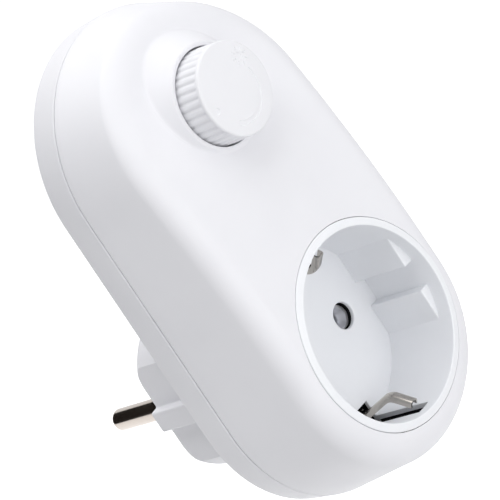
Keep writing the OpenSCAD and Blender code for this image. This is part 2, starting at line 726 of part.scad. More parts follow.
// Wire from the left-hand pin to the board
module live_lead() color("saddlebrown") {
    x = lead_step - sleeve_x;
    wire([[-sleeve_x, y_stem, sleeve_r + fit], [-sleeve_x, y_stem, sleeve_r + 2 * lead_r],
        [x, y_stem - lead_step, lead_turn], [x, y_lead, lead_turn], [x, y_lead, lead_z],
        [x, y_back, lead_z]], lead_r, lead_r);
}
// Wire from the board to the left-hand sleeve
module load_lead() color("black") wire([[-sleeve_x, y_tail, sleeve_r + fit],
    [-sleeve_x, y_tail, lead_turn], [-sleeve_x, y_lead, lead_turn], [-sleeve_x, y_lead, lead_z],
    [-sleeve_x, y_back, lead_z]], lead_r, lead_r);

// Fluted knob: a tapered skirt, a face and a hub with a flat for the shaft
module dimmer_knob() color("white") translate([0, 0, knob_z]) {
    height = y_knob - y_face;
    lean = atan(knob_taper / height);
    difference() {
        turned(0, 0) polygon([[0, y_face], [knob_r - knob_taper - knob_bevel, y_face],
            [knob_r - knob_taper, y_face + knob_bevel], [knob_r, y_knob],
            [knob_r - skirt_t, y_knob], [knob_r - skirt_t, y_face + face_t],
            [hub_r, y_face + face_t], [hub_r, y_hub], [0, y_hub]]);
        for (i = [0 : flutes - 1]) rotate([0, 360 * i / flutes, 0])
            translate([knob_r + flute_r - flute_depth, y_knob, 0])
                rotate([90, 0, 0]) rotate([0, -lean, 0]) translate([0, 0, -over])
                    cylinder(h = height - flute_stop + over, r = flute_r, $fn = 16);
        difference() {
            rod(0, 0, y_face + face_t, y_hub + over, shaft_r + fit);
            block([-hub_r, y_face, shaft_r - shaft_flat + fit], [hub_r, y_hub + 2 * over, hub_r]);
        }
    }
}

module pot_shaft() color("silver") difference() {
    rod(0, knob_z, y_face + face_t + fit, y_case + pot_depth - case_t - play, shaft_r);
    block([-hub_r, y_face, knob_z + shaft_r - shaft_flat], [hub_r, y_hub + play, knob_z + hub_r]);
}
module pot_wiper() color("dimgray")
    tube(0, knob_z, y_wiper, y_wiper + wiper_t, pot_r - case_t - play, shaft_r + fit / 2);
module pot_bushing() color("silver") difference() {
    union() {
        rod(0, knob_z, y_well - bush_out, y_track, bush_r);
        rod(0, knob_z, y_plate, y_track, pot_r);
    }
    rod(0, knob_z, y_well - bush_out - over, y_track + over, shaft_r + shaft_play);
}
module pot_nut() color("goldenrod") difference() {
    translate([0, y_well - nut_t, knob_z]) rotate([-90, 0, 0])
        cylinder(h = nut_t, r = nut_r, $fn = 6);
    rod(0, knob_z, y_well - nut_t - over, y_well + over, bush_r + fit / 2);
}
module pot_track() color("sienna")
    tube(0, knob_z, y_track, y_case, pot_r, shaft_r + play);
module pot_case() color("silver") difference() {
    rod(0, knob_z, y_case, y_case + pot_depth, pot_r);
    rod(0, knob_z, y_case - over, y_case + pot_depth - case_t, pot_r - case_t);
}
module pot_terminals() color("silver") for (i = [-1, 0, 1]) {
    x = i * terminal_pitch;
    half = terminal_w / 2;
    rim = knob_z - sqrt(pot_r * pot_r - pow(max(abs(x) - half, 0), 2)) - fit;
    low = terminal_z - terminal_t / 2;
    block([x - half, y_track, low], [x + half, y_case, rim]);
    block([x - half, y_case, low], [x + half, y_back + over, low + terminal_t]);
}

module circuit_board() color("darkgreen") difference() {
    union() {
        rod(0, z_high, y_board, y_back, board_r);
        block([-board_r, y_board, board_low], [board_r, y_back, z_high]);
    }
    block([-board_r, y_board - over, z_low - board_r], [board_r, y_back + over, board_low]);
    rod(cover_screws_at[0][0], cover_screws_at[0][1], y_board - over, y_back + over, boss_out + play);
    block([-boss_out - play, y_board - over, cover_screws_at[0][1]],
        [boss_out + play, y_back + over, z_high + seam_r]);
    for (p = board_screws_at) board_hole(p[0], p[1], board_screw_r + fit);
    board_hole(triac_x, hole_z, sink_hole_r);
    for (i = [-1, 0, 1]) {
        board_hole(i * terminal_pitch, terminal_z, terminal_w / 2 + play);
        board_hole(triac_x + i * leg_pitch, triac_z - leg_out, leg_w / 2 + play);
    }
    for (i = [0 : 2], s = [-1, 1]) board_hole(small_x + s * (axial_len[i] / 2 + axial_reach),
        small_z + i * axial_pitch, axial_leg_r + play);
}
module board_hole(x, z, r) rod(x, z, y_board - over, y_back + over, r);
module board_screws() color("silver") for (p = board_screws_at) {
    rod(p[0], p[1], y_board - board_head_h, y_board, board_head_r);
    rod(p[0], p[1], y_board - fit, y_inside - board_screw_stop, board_screw_r);
}

// Triac lying on its heat sink, with its tab up and its legs bent into the board
module triac() color("dimgray") {
    left = triac_x - triac_w / 2;
    right = triac_x + triac_w / 2;
    leg_y = y_sink - (triac_t + tab_t) / 2;
    block([left, y_sink - triac_t, triac_z], [right, y_sink, tab_z]);
    difference() {
        block([left, y_sink - tab_t, tab_z - fit], [right, y_sink, tab_z + tab_h]);
        rod(triac_x, hole_z, y_sink - tab_t - over, y_board, sink_hole_r);
    }
    for (i = [-1, 0, 1]) {
        x = triac_x + i * leg_pitch - leg_w / 2;
        low = triac_z - leg_out - leg_t / 2;
        block([x, leg_y, low], [x + leg_w, leg_y + leg_t, triac_z + fit]);
        block([x, leg_y, low], [x + leg_w, y_back + over, low + leg_t]);
    }
}
// Angle plate under the triac, with its upstand between the triac and the potentiometer
module heat_sink() color("lightgray") difference() {
    right = triac_x + triac_w / 2 + play;
    top = tab_z + tab_h + play;
    union() {
        block([triac_x - triac_w / 2 - play, y_sink, triac_z], [right + sink_t, y_board, top]);
        block([right, y_board - sink_h, triac_z], [right + sink_t, y_board, top]);
    }
    rod(triac_x, hole_z, y_board - sink_h, y_board + over, sink_hole_r);
}
module heat_sink_screw() color("silver") {
    y_head = y_sink - tab_t;
    rod(triac_x, hole_z, y_head - sink_head_h, y_head, sink_head_r);
    rod(triac_x, hole_z, y_head - fit, y_back + sink_screw_out, sink_screw_r);
}

// Toroidal choke lying on the board
module choke_core() color("dimgray")
    tube(choke_x, choke_z, y_choke, y_choke + choke_h, choke_r, choke_hole);
module choke_winding() color("peru") translate([choke_x, 0, choke_z]) rotate([-90, 0, 0])
    rotate([0, 0, wind_open / 2]) rotate_extrude(angle = 360 - wind_open) difference() {
        translate([choke_hole - wind_t, y_choke - wind_t])
            square([choke_r - choke_hole + 2 * wind_t, choke_h + 2 * wind_t]);
        translate([choke_hole - fit, y_choke - fit])
            square([choke_r - choke_hole + 2 * fit, choke_h + 2 * fit]);
    }

module suppression_capacitor() color("gold")
    block([cap_x - cap_w / 2, y_board - cap_h, cap_z - cap_t / 2],
        [cap_x + cap_w / 2, y_board, cap_z + cap_t / 2]);
module timing_capacitor() color("firebrick")
    block([small_x - time_w / 2, y_board - time_h, time_z],
        [small_x + time_w / 2, y_board, time_z + time_t]);
module diac() color("steelblue") axial(small_x, small_z, diac_r, axial_len[0]);
module resistors() color("burlywood") for (i = [1, 2])
    axial(small_x, small_z + i * axial_pitch, resistor_r, axial_len[i]);

// Rod along X on the fuse's axis
module fuse_rod(x, length, r)
    translate([x - length / 2, fuse_y, fuse_z]) rotate([0, 90, 0]) cylinder(h = length, r = r);
module fuse() color("lightblue") fuse_rod(cap_x, fuse_len, fuse_r);
// Two spring clips that hold the fuse by its caps
module fuse_clips() color("silver") for (s = [-1, 1]) {
    x = cap_x + s * ((fuse_len - fuse_clip_w) / 2 - play);
    half = fuse_clip_w / 2;
    side = fuse_r + fuse_clip_t;
    mouth = fuse_r - fuse_clip_t;
    difference() {
        block([x - half, fuse_y - fuse_r / 2, fuse_z - side], [x + half, y_board, fuse_z + side]);
        fuse_rod(x, fuse_clip_w + over, fuse_r + fit);
        block([x - half - over, fuse_y - fuse_r, fuse_z - mouth],
            [x + half + over, fuse_y, fuse_z + mouth]);
    }
}

module cover_screws() color("silver") for (p = cover_screws_at) {
    y_seat = y_rear - pocket_depth;
    rod(p[0], p[1], y_seat, y_seat + screw_head_h, screw_head_r);
    rod(p[0], p[1], y_rear - screw_len, y_seat + fit, screw_r);
}

front_cover();
rear_cover();
socket_insert();
contact_carrier();
socket_contact_left();
socket_contact_right();
earth_clip_upper();
earth_clip_lower();
earth_bridge();
plug_earth_upper();
plug_earth_lower();
plug_pin_left();
plug_pin_right();
neutral_bar();
live_lead();
load_lead();
dimmer_knob();
pot_shaft();
pot_wiper();
pot_bushing();
pot_nut();
pot_track();
pot_case();
pot_terminals();
circuit_board();
board_screws();
triac();
heat_sink();
heat_sink_screw();
choke_core();
choke_winding();
suppression_capacitor();
timing_capacitor();
diac();
resistors();
fuse();
fuse_clips();
cover_screws();
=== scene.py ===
# %% [markdown]
# # A plug-in lamp dimmer
# A white casing has a socket and a turning knob on its front and a plug on its back. The packed
# model gives every piece its place. This script dresses it: each piece that can be seen is made
# again with soft edges and fine detail, and each finish is a procedural material.

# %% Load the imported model
import math

import bmesh
import bpy
import numpy as np
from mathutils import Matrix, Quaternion, Vector


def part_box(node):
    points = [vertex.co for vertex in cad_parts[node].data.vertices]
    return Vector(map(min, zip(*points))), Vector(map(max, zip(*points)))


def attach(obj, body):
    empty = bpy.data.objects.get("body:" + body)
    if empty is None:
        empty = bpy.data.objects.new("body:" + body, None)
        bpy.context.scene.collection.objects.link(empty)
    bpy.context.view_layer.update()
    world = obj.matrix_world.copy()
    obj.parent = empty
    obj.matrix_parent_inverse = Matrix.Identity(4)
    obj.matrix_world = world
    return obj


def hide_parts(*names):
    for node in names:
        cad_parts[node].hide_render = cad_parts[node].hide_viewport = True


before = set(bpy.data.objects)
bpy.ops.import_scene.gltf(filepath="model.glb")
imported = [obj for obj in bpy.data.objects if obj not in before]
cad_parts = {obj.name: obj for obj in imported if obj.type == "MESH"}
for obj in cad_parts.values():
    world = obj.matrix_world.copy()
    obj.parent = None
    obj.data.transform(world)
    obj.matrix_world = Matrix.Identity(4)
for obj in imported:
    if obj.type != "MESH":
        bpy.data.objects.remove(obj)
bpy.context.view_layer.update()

MM = 0.001

# %% [markdown]
# ## Camera
# The photograph looks down on the front from the left, and the camera was rolled so that the
# object leans. A camera could be aimed with a constraint, but a fixed place, aim and roll are
# easier to read and keep still in every view. The long lens gives the photograph's flat look.

# %% Place the camera
CAMERA_AT = Vector((-413.46, -491.43, 172.57)) * MM
CAMERA_AIM = Vector((5.18, -28.56, 21.31)) * MM
CAMERA_ROLL = math.radians(-33.351)
LENS = 230.17
SENSOR = 36
NEAR_LIMIT = 10


def put(name, data):
    """A new object in the scene."""
    made = bpy.data.objects.new(name, data)
    bpy.context.scene.collection.objects.link(made)
    return made


lens = bpy.data.cameras.new("camera")
lens.lens = LENS
lens.sensor_width = SENSOR
lens.clip_start = NEAR_LIMIT * MM
camera = put("camera", lens)
camera.location = CAMERA_AT
aimed = (CAMERA_AIM - CAMERA_AT).to_track_quat("-Z", "Y")
camera.rotation_mode = "QUATERNION"
camera.rotation_quaternion = aimed @ Quaternion((0, 0, 1), CAMERA_ROLL)
bpy.context.scene.camera = camera
bpy.context.scene.view_settings.view_transform = "Standard"
print("camera distance in mm:", round((CAMERA_AIM - CAMERA_AT).length / MM, 1))

# %% [markdown]
# ## Light and floor
# The photograph is a shadowless picture on white: broad soft light from above and in front, and
# a bright room all round. The world gives the even part, and is plain white to the camera and to
# reflections. The floor glows a little more far away, so that it meets the white room without a
# line. Six soft lamps hang round the object, and a dark card that only reflections see stands
# behind it, so that polished metal has something dark to show.

# %% Make helpers for shader nodes
def add_node(tree, kind, inputs=None, **settings):
    """A new node; each input is given a fixed value or is linked to another node's output."""
    made = tree.nodes.new("ShaderNode" + kind)
    for label, value in settings.items():
        setattr(made, label, value)
    for label, value in (inputs or {}).items():
        if isinstance(value, bpy.types.NodeSocket):
            tree.links.new(value, made.inputs[label])
        else:
            made.inputs[label].default_value = value
    return made


def compute(tree, operation, first, second):
    """The result of a Math node on two values."""
    return add_node(tree, "Math", {0: first, 1: second}, operation=operation).outputs[0]


def ramp(tree, value, low, high, start, end):
    """Maps value from low..high to start..end, held inside those ends."""
    ends = {"From Min": low, "From Max": high, "To Min": start, "To Max": end}
    return add_node(tree, "MapRange", {"Value": value, **ends}).outputs["Result"]


def picture_rays(tree):
    """1 for rays from the camera, off shiny and through clear surfaces, 0 for rays that carry light."""
    rays = add_node(tree, "LightPath").outputs
    mirrored = compute(tree, "MAXIMUM", rays["Is Glossy Ray"], rays["Is Transmission Ray"])
    return compute(tree, "MAXIMUM", rays["Is Camera Ray"], mirrored)


# %% Set the world
WORLD_LIGHT = 0.19
WORLD_TINT = (0.97, 0.98, 1.0, 1)
WHITE = (1, 1, 1, 1)
scene_world = bpy.data.worlds.new("bright_room")
scene_world.use_nodes = True
bpy.context.scene.world = scene_world
room = scene_world.node_tree
room.nodes.clear()
even = add_node(room, "Background", {"Color": WORLD_TINT, "Strength": WORLD_LIGHT})
white = add_node(room, "Background", {"Color": WHITE})
choose = add_node(room, "MixShader", {0: picture_rays(room), 1: even.outputs[0], 2: white.outputs[0]})
add_node(room, "OutputWorld", {"Surface": choose.outputs[0]})
print("world light:", WORLD_LIGHT)

# %% Hang the lamps
LAMP_AIM = Vector((0, -30, 20))
LAMPS = {
    # name: place in mm, width and height in mm, watts
    "overhead": ((0, -100, 1000), 1400, 1400, 9.2),
    "key": ((-430, -430, 850), 400, 400, 0.9),
    "front": ((200, -1100, 400), 1400, 1000, 3.2),
    "front_left": ((-750, -800, 400), 1000, 1000, 1.1),
    "rear_top": ((0, 600, 850), 1000, 1000, 3.8),
    "low": ((-200, -1000, 20), 1400, 260, 2.8),
}
for name, (place, wide, high, watts) in LAMPS.items():
    lamp = bpy.data.lights.new(name, "AREA")
    lamp.shape = "RECTANGLE"
    lamp.size = wide * MM
    lamp.size_y = high * MM
    lamp.energy = watts
    hung = put(name, lamp)
    hung.location = Vector(place) * MM
    hung.rotation_mode = "QUATERNION"
    hung.rotation_quaternion = (LAMP_AIM - Vector(place)).to_track_quat("-Z", "Y")
    # The pins would mirror the lamp behind them, where they should show the dark card
    hung.visible_glossy = name != "rear_top"
print("lamps:", list(LAMPS))

# %% Lay the floor
FLOOR_Z = -120
FLOOR_SIDE = 12000
FLOOR_SHADE = (0.78, 0.78, 0.78, 1)
FLOOR_GLOW = 0.68
GLOW_NEAR = 500 * MM
GLOW_FAR = 3000 * MM
CORNERS = ((-1, -1), (1, -1), (1, 1), (-1, 1))


def square(name, at, turn, side, material):
    """A square sheet, side mm wide, turned about its middle."""
    mesh = bpy.data.meshes.new(name)
    spots = [at + turn @ Vector((x * side / 2, y * side / 2, 0)) for x, y in CORNERS]
    mesh.from_pydata([spot * MM for spot in spots], [], [(0, 1, 2, 3)])
    mesh.materials.append(material)
    return put(name, mesh)


paper = bpy.data.materials.new("floor_paper")
paper.use_nodes = True
paper_tree = paper.node_tree
paper_tree.nodes.clear()
matt = add_node(paper_tree, "BsdfDiffuse", {"Color": FLOOR_SHADE})
spot = add_node(paper_tree, "TexCoord").outputs["Object"]
away = add_node(paper_tree, "VectorMath", {0: spot}, operation="LENGTH")
rising = ramp(paper_tree, away.outputs["Value"], GLOW_NEAR, GLOW_FAR, FLOOR_GLOW, 1)
level = compute(paper_tree, "MULTIPLY", picture_rays(paper_tree), rising)
glow = add_node(paper_tree, "Emission", {"Color": WHITE, "Strength": level})
both = add_node(paper_tree, "AddShader", {0: matt.outputs[0], 1: glow.outputs[0]})
add_node(paper_tree, "OutputMaterial", {"Surface": both.outputs[0]})
floor = square("floor", Vector((0, 0, FLOOR_Z)), Quaternion(), FLOOR_SIDE, paper)
print("floor at z =", FLOOR_Z, "mm")

# %% Stand a dark card behind
CARD_AT = Vector((-550, 1150, 450))
CARD_SIDE = 2000
CARD_SHADE = (0.012, 0.008, 0.006, 1)
felt = bpy.data.materials.new("black_felt")
felt.use_nodes = True
felt_shader = felt.node_tree.nodes["Principled BSDF"]
felt_shader.inputs["Base Color"].default_value = CARD_SHADE
felt_shader.inputs["Roughness"].default_value = 1
card = square("dark_card", CARD_AT, (-CARD_AT).to_track_quat("Z", "Y"), CARD_SIDE, felt)
card.visible_camera = False
card.visible_diffuse = False
card.visible_shadow = False
print("dark card", round(CARD_AT.length), "mm away")

# %% [markdown]
# ## Surface effects
# Moulded plastic has a fine spark-eroded grain and handling smudges. Metal has drawing lines.
# Edges are a little brighter where hands and packing rub them. Where surfaces meet, the colour is
# darkened: partly dust, partly painted shade in creases and seams. Each effect is a node group, so
# every finish can use it with its own values.

# %% Make helpers for node groups
def effect(name, label, start, result):
    """A node group with one number in and one out, and the two sockets inside it."""
    group = bpy.data.node_groups.new(name, "ShaderNodeTree")
    number = {"socket_type": "NodeSocketFloat"}
    group.interface.new_socket(name=label, in_out="INPUT", **number).default_value = start
    group.interface.new_socket(name=result, in_out="OUTPUT", **number)
    given = group.nodes.new("NodeGroupInput").outputs[label]
    return group, given, group.nodes.new("NodeGroupOutput").inputs[result]


def noise(group, scale, detail, stretch=None):
    """A noise texture on the piece's own coordinates; stretch draws it out along an axis."""
    place = add_node(group, "TexCoord").outputs["Object"]
    if stretch:
        place = add_node(group, "Mapping", {"Vector": place, "Scale": stretch}).outputs["Vector"]
    return add_node(group, "TexNoise", {"Vector": place, "Scale": scale, "Detail": detail}).outputs["Fac"]


# %% Grain, smudges, drawing lines, rubbed edges, and dust with painted crease shade
GRAIN_SCALE = 2600
SMUDGE_SCALE = 60
SMUDGE_RANGE = (0.42, 0.66)
LINE_SCALE = 900
LINE_STRETCH = (1, 0.02, 1)
RUB_SCALE = 300
RUB_RANGE = (0.52, 0.60)
PATCH_RANGE = (0.35, 0.6)
PATCH_LEAST = 0.3
DUST_AND_SHADE_REACH = 1.2 * MM
DUST_AND_SHADE_RANGE = (0.25, 0.75)
DUST_AND_SHADE_SAMPLES = 8

grain, scale, height = effect("fine_grain", "Scale", GRAIN_SCALE, "Height")
grain.links.new(noise(grain, scale, detail=3), height)

smudge, scale, mask = effect("handling_smudges", "Scale", SMUDGE_SCALE, "Mask")
smudge.links.new(ramp(smudge, noise(smudge, scale, detail=5), *SMUDGE_RANGE, 0, 1), mask)

lines, scale, height = effect("drawing_lines", "Scale", LINE_SCALE, "Height")
lines.links.new(noise(lines, scale, detail=2, stretch=LINE_STRETCH), height)

rubbed, scale, mask = effect("rubbed_edges", "Breakup", RUB_SCALE, "Mask")
pointed = ramp(rubbed, add_node(rubbed, "NewGeometry").outputs["Pointiness"], *RUB_RANGE, 0, 1)
patchy = ramp(rubbed, noise(rubbed, scale, detail=3), *PATCH_RANGE, PATCH_LEAST, 1)
rubbed.links.new(compute(rubbed, "MULTIPLY", pointed, patchy), mask)

# Painted shade with dust: an ambient occlusion mask darkens the colour where surfaces meet, in creases and
# seams
dust_and_shade, reach, mask = effect("dust_and_crease_shade", "Reach", DUST_AND_SHADE_REACH, "Mask")
nearby = add_node(dust_and_shade, "AmbientOcclusion", {"Distance": reach}, samples=DUST_AND_SHADE_SAMPLES)
dust_and_shade.links.new(ramp(dust_and_shade, nearby.outputs["AO"], *DUST_AND_SHADE_RANGE, 1, 0), mask)
print("effects:", [group.name for group in bpy.data.node_groups])

# %% [markdown]
# ## Finishes
# Every finish is a Principled shader: two shades of one colour mixed by the smudge mask, a
# lighter edge, a darker tint in creases that is dust and painted shade, and a roughness that
# wanders a little. Each could be wired by hand, but they differ only in values, so a table holds
# those and one function makes them all.

# %% Make a finish
EDGE_GAIN = 1.15
EDGE_LIFT = 0.03
DUST_AND_SHADE_TONE = 0.55
DUST_AND_SHADE_SHARE = 0.1
BUMP_STRENGTH = 0.35


def finish(name, shade, other, metallic, gloss, relief, grain_scale=GRAIN_SCALE, drawn_out=False,
           edge=0.05, shine=0.5):
    """A procedural material. gloss is the lowest and highest roughness, relief the grain in mm."""
    material = bpy.data.materials.new(name)
    material.use_nodes = True
    tree = material.node_tree
    shader = tree.nodes["Principled BSDF"]
    shader.inputs["Metallic"].default_value = metallic
    shader.inputs["Specular IOR Level"].default_value = shine

    def layer(group):
        return add_node(tree, "Group", node_tree=group)

    def mix(factor, first, second, strength):
        inputs = {"Factor": ramp(tree, factor, 0, 1, 0, strength), "A": first, "B": second}
        return add_node(tree, "Mix", inputs, data_type="RGBA").outputs["Result"]

    marks = layer(smudge).outputs["Mask"]
    colour = mix(marks, (*shade, 1), (*other, 1), 1)
    light = [min(1, value * EDGE_GAIN + EDGE_LIFT) for value in shade]
    colour = mix(layer(rubbed).outputs["Mask"], colour, (*light, 1), edge)
    # Painted crease shade and dust: the colour is darkened a little where the ambient occlusion mask finds
    # surfaces close together
    dust_and_shade_grey = [value * DUST_AND_SHADE_TONE for value in shade]
    colour = mix(layer(dust_and_shade).outputs["Mask"], colour, (*dust_and_shade_grey, 1), DUST_AND_SHADE_SHARE)
    tree.links.new(colour, shader.inputs["Base Color"])
    tree.links.new(ramp(tree, marks, 0, 1, *gloss), shader.inputs["Roughness"])
    texture = layer(lines if drawn_out else grain)
    texture.inputs["Scale"].default_value = grain_scale
    bump = add_node(tree, "Bump", {"Strength": BUMP_STRENGTH, "Distance": relief * MM,
                                   "Height": texture.outputs["Height"]})
    tree.links.new(bump.outputs["Normal"], shader.inputs["Normal"])
    return material


# %% Choose the finishes
LOOKS = {
    # slot: name, two shades, metallic, roughness, grain in mm, its scale, drawn lines, rubbed edge
    "casing": ("satin_white", (0.80, 0.80, 0.832), (0.785, 0.785, 0.818), 0, (0.48, 0.56), 0.012),
    "insert": ("insert_white", (0.838, 0.85, 0.878), (0.823, 0.835, 0.864), 0, (0.44, 0.52), 0.010),
    "knob": ("knob_white", (0.81, 0.811, 0.84), (0.795, 0.796, 0.826), 0, (0.42, 0.48), 0.010),
    "nickel": ("nickel_plate", (0.56, 0.51, 0.47), (0.51, 0.46, 0.42), 1, (0.12, 0.20), 0.004,
               900, True, 0.2),
    "spring_steel": ("nickel_strip", (0.54, 0.51, 0.47), (0.47, 0.44, 0.40), 1, (0.12, 0.20), 0.005,
                     900, True, 0.25),
    "brass": ("brass", (0.72, 0.54, 0.25), (0.62, 0.44, 0.19), 1, (0.25, 0.38), 0.006, 900, True),
    "steel": ("zinc_steel", (0.56, 0.57, 0.58), (0.48, 0.49, 0.51), 1, (0.28, 0.40), 0.006, 900),
    "aluminium": ("mill_aluminium", (0.77, 0.78, 0.79), (0.70, 0.71, 0.73), 1, (0.35, 0.5), 0.01, 700, True),
    "board": ("green_laminate", (0.02, 0.13, 0.05), (0.03, 0.17, 0.07), 0, (0.3, 0.42), 0.02, 900),
    "black_case": ("black_resin", (0.02, 0.02, 0.022), (0.03, 0.03, 0.032), 0, (0.45, 0.6), 0.02),
    "phenolic": ("phenolic_board", (0.26, 0.12, 0.05), (0.33, 0.16, 0.07), 0, (0.5, 0.65), 0.02),
    "ferrite": ("ferrite", (0.045, 0.043, 0.043), (0.06, 0.056, 0.055), 0, (0.6, 0.75), 0.03),
    "copper": ("enamelled_copper", (0.72, 0.30, 0.13), (0.60, 0.22, 0.09), 1, (0.18, 0.3), 0.01),
    "film_yellow": ("yellow_box", (0.82, 0.55, 0.06), (0.75, 0.48, 0.05), 0, (0.4, 0.5), 0.01),
    "film_red": ("red_dip", (0.50, 0.05, 0.03), (0.42, 0.04, 0.03), 0, (0.22, 0.32), 0.02, 800),
    "glass_blue": ("blue_glass", (0.04, 0.12, 0.33), (0.05, 0.15, 0.38), 0, (0.12, 0.2), 0.004),
    "resistor_tan": ("tan_lacquer", (0.60, 0.43, 0.25), (0.54, 0.37, 0.2), 0, (0.3, 0.42), 0.01),
    "fuse_glass": ("fuse_tube", (0.72, 0.80, 0.80), (0.66, 0.75, 0.76), 0, (0.06, 0.12), 0.002),
    "wire_brown": ("brown_jacket", (0.17, 0.07, 0.03), (0.2, 0.09, 0.04), 0, (0.4, 0.5), 0.01),
    "wire_black": ("black_jacket", (0.018, 0.018, 0.018), (0.03, 0.03, 0.03), 0, (0.4, 0.5), 0.01),
}
FINISHES = {slot: finish(*look) for slot, look in LOOKS.items()}
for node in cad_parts.values():
    for held in node.material_slots:
        held.material = FINISHES[held.material.name.split(".")[0]]
print("finishes:", len(FINISHES), "on", len(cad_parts), "nodes")

# %% [markdown]
# ## Mesh helpers
# Most pieces are mouldings, turned parts or bent strips, so they are lofts: rings of points
# joined by quads. A modelling session would use bevels and loop cuts, but points worked out from
# a profile stay exact. Patches are collected, welded and shaded smooth with sharp creases kept.

# %% Collect patches and weld them
WELD = 0.0005 * MM
SOFT_STEPS = 3


class Patches:
    """Points and faces in millimetres, gathered from several patches of one piece."""

    def __init__(self):
        self.points = []
        self.faces = []

    def add(self, points, faces):
        start = len(self.points)
        self.points.extend(tuple(map(float, point)) for point in points)
        self.faces.extend(tuple(start + corner for corner in face) for face in faces)

    def loft(self, rings, closed=True):
        """Quads from each ring to the next; closed joins the last point of a ring to its first."""
        rings = np.asarray(rings, float)
        rows, count = rings.shape[:2]
        steps = count if closed else count - 1
        faces = []
        for row in range(rows - 1):
            for here in range(steps):
                there = (here + 1) % count
                faces.append((row * count + here, row * count + there,
                              (row + 1) * count + there, (row + 1) * count + here))
        self.add(rings.reshape(-1, 3), faces)

    def cap(self, ring):
        """One face over a flat ring."""
        self.add(ring, [tuple(range(len(ring)))])

    def prism(self, rings):
        """A loft with a face over each end."""
        self.loft(rings)
        self.cap(rings[0])
        self.cap(rings[-1])

    def fan(self, ring):
        """Triangles from a ring to the point in its middle."""
        count = len(ring)
        middle = np.mean(ring, axis=0)
        self.add([*ring, middle], [(here, (here + 1) % count, count) for here in range(count)])

    def fill(self, *loops):
        """A flat face inside the first loop, with the other loops left open as holes."""
        work = bmesh.new()
        edges = []
        for loop in loops:
            loop = np.asarray(loop, float)
            apart = np.linalg.norm(loop - np.roll(loop, 1, axis=0), axis=1) > WELD / MM
            spots = [work.verts.new(point) for point in loop[apart]]
            edges += [work.edges.new((a, b)) for a, b in zip(spots, spots[1:] + spots[:1])]
        bmesh.ops.triangle_fill(work, use_beauty=True, use_dissolve=False, edges=edges)
        work.verts.index_update()
        points = [spot.co.copy() for spot in work.verts]
        faces = [tuple(spot.index for spot in face.verts) for face in work.faces]
        work.free()
        self.add(points, faces)


def piece(name, patches, slot, body, *nodes, crease=35, soften=0.0, look=None):
    """Welds the patches into one object that rides on a body and stands for CAD nodes."""
    mesh = bpy.data.meshes.new(name)
    mesh.from_pydata([Vector(point) * MM for point in patches.points], [], patches.faces)
    work = bmesh.new()
    work.from_mesh(mesh)
    bmesh.ops.remove_doubles(work, verts=work.verts, dist=WELD)
    bmesh.ops.dissolve_degenerate(work, edges=work.edges, dist=WELD)
    bmesh.ops.recalc_face_normals(work, faces=work.faces)
    loose = sum(1 for edge in work.edges if len(edge.link_faces) != 2)
    work.to_mesh(mesh)
    work.free()
    mesh.shade_smooth()
    mesh.set_sharp_from_angle(angle=math.radians(crease))
    mesh.materials.append(look or FINISHES[slot])
    made = put(name, mesh)
    if soften:
        rounding = made.modifiers.new("soft_edges", "BEVEL")
        rounding.limit_method = "ANGLE"
        rounding.angle_limit = math.radians(crease)
        rounding.width = soften * MM
        rounding.segments = SOFT_STEPS
        rounding.harden_normals = True
    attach(made, body)
    if nodes:
        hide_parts(*nodes)
    print(name, "faces:", len(mesh.polygons), "open edges:", loose)


# %% Shape profiles
def span(node):
    """Lowest and highest corner of a CAD piece, in millimetres."""
    low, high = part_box(node)
    return np.array(low) / MM, np.array(high) / MM


def way(turn):
    """Directions (x, z) at these angles in radians."""
    return np.column_stack((np.cos(turn), np.sin(turn)))


def arc(centre, radius, start, end, steps):
    """Points on an arc in a plane, angles in degrees."""
    return radius * way(np.radians(np.linspace(start, end, steps + 1))) + centre


def eased(corners, radius, steps=4):
    """An open outline with each inner corner rounded; radius is one value or one per corner."""
    corners = [np.array(corner, float) for corner in corners]
    radii = np.broadcast_to(radius, len(corners))
    line = [corners[0]]
    for before, corner, after, bend in zip(corners, corners[1:], corners[2:], radii[1:]):
        back = (before - corner) / np.linalg.norm(before - corner)
        on = (after - corner) / np.linalg.norm(after - corner)
        for step in np.linspace(0, 1, steps + 1):
            line.append(corner + bend * ((1 - step) ** 2 * back + step ** 2 * on))
    line.append(corners[-1])
    return np.array(line)


def quarter_round(steps):
    """Pairs from (1, 0) to (0, 1) along a rounded corner: the distances left to its two faces."""
    return [(1 - math.sin(a), 1 - math.cos(a)) for a in np.linspace(0, math.pi / 2, steps + 1)]


def standing(flat, y):
    """Points (x, z) stood up at depth y, which is one value or one per point."""
    return np.column_stack((flat[:, 0], np.broadcast_to(y, len(flat)), flat[:, 1]))


def turned(profile, x, z, steps):
    """Rings of a turned piece from (radius, y) points, about an axis along y at (x, z)."""
    around = way(np.linspace(0, 2 * np.pi, steps, endpoint=False))
    return [standing(r * around + (x, z), y) for r, y in profile]


# %% [markdown]
# ## Front shell
# The front is one moulding: a gently domed face with a round opening for the socket and a raised
# collar round the knob, rounded into sides that lean out to the seam. Booleans would leave
# ragged edges where the collar melts into the dome, so the face is a height: the dome and the
# collar are two functions, and a soft minimum joins them with a fillet.

# %% Measure the casing
cover_low, cover_high = span("front_cover")
knob_low, knob_high = span("dimmer_knob")

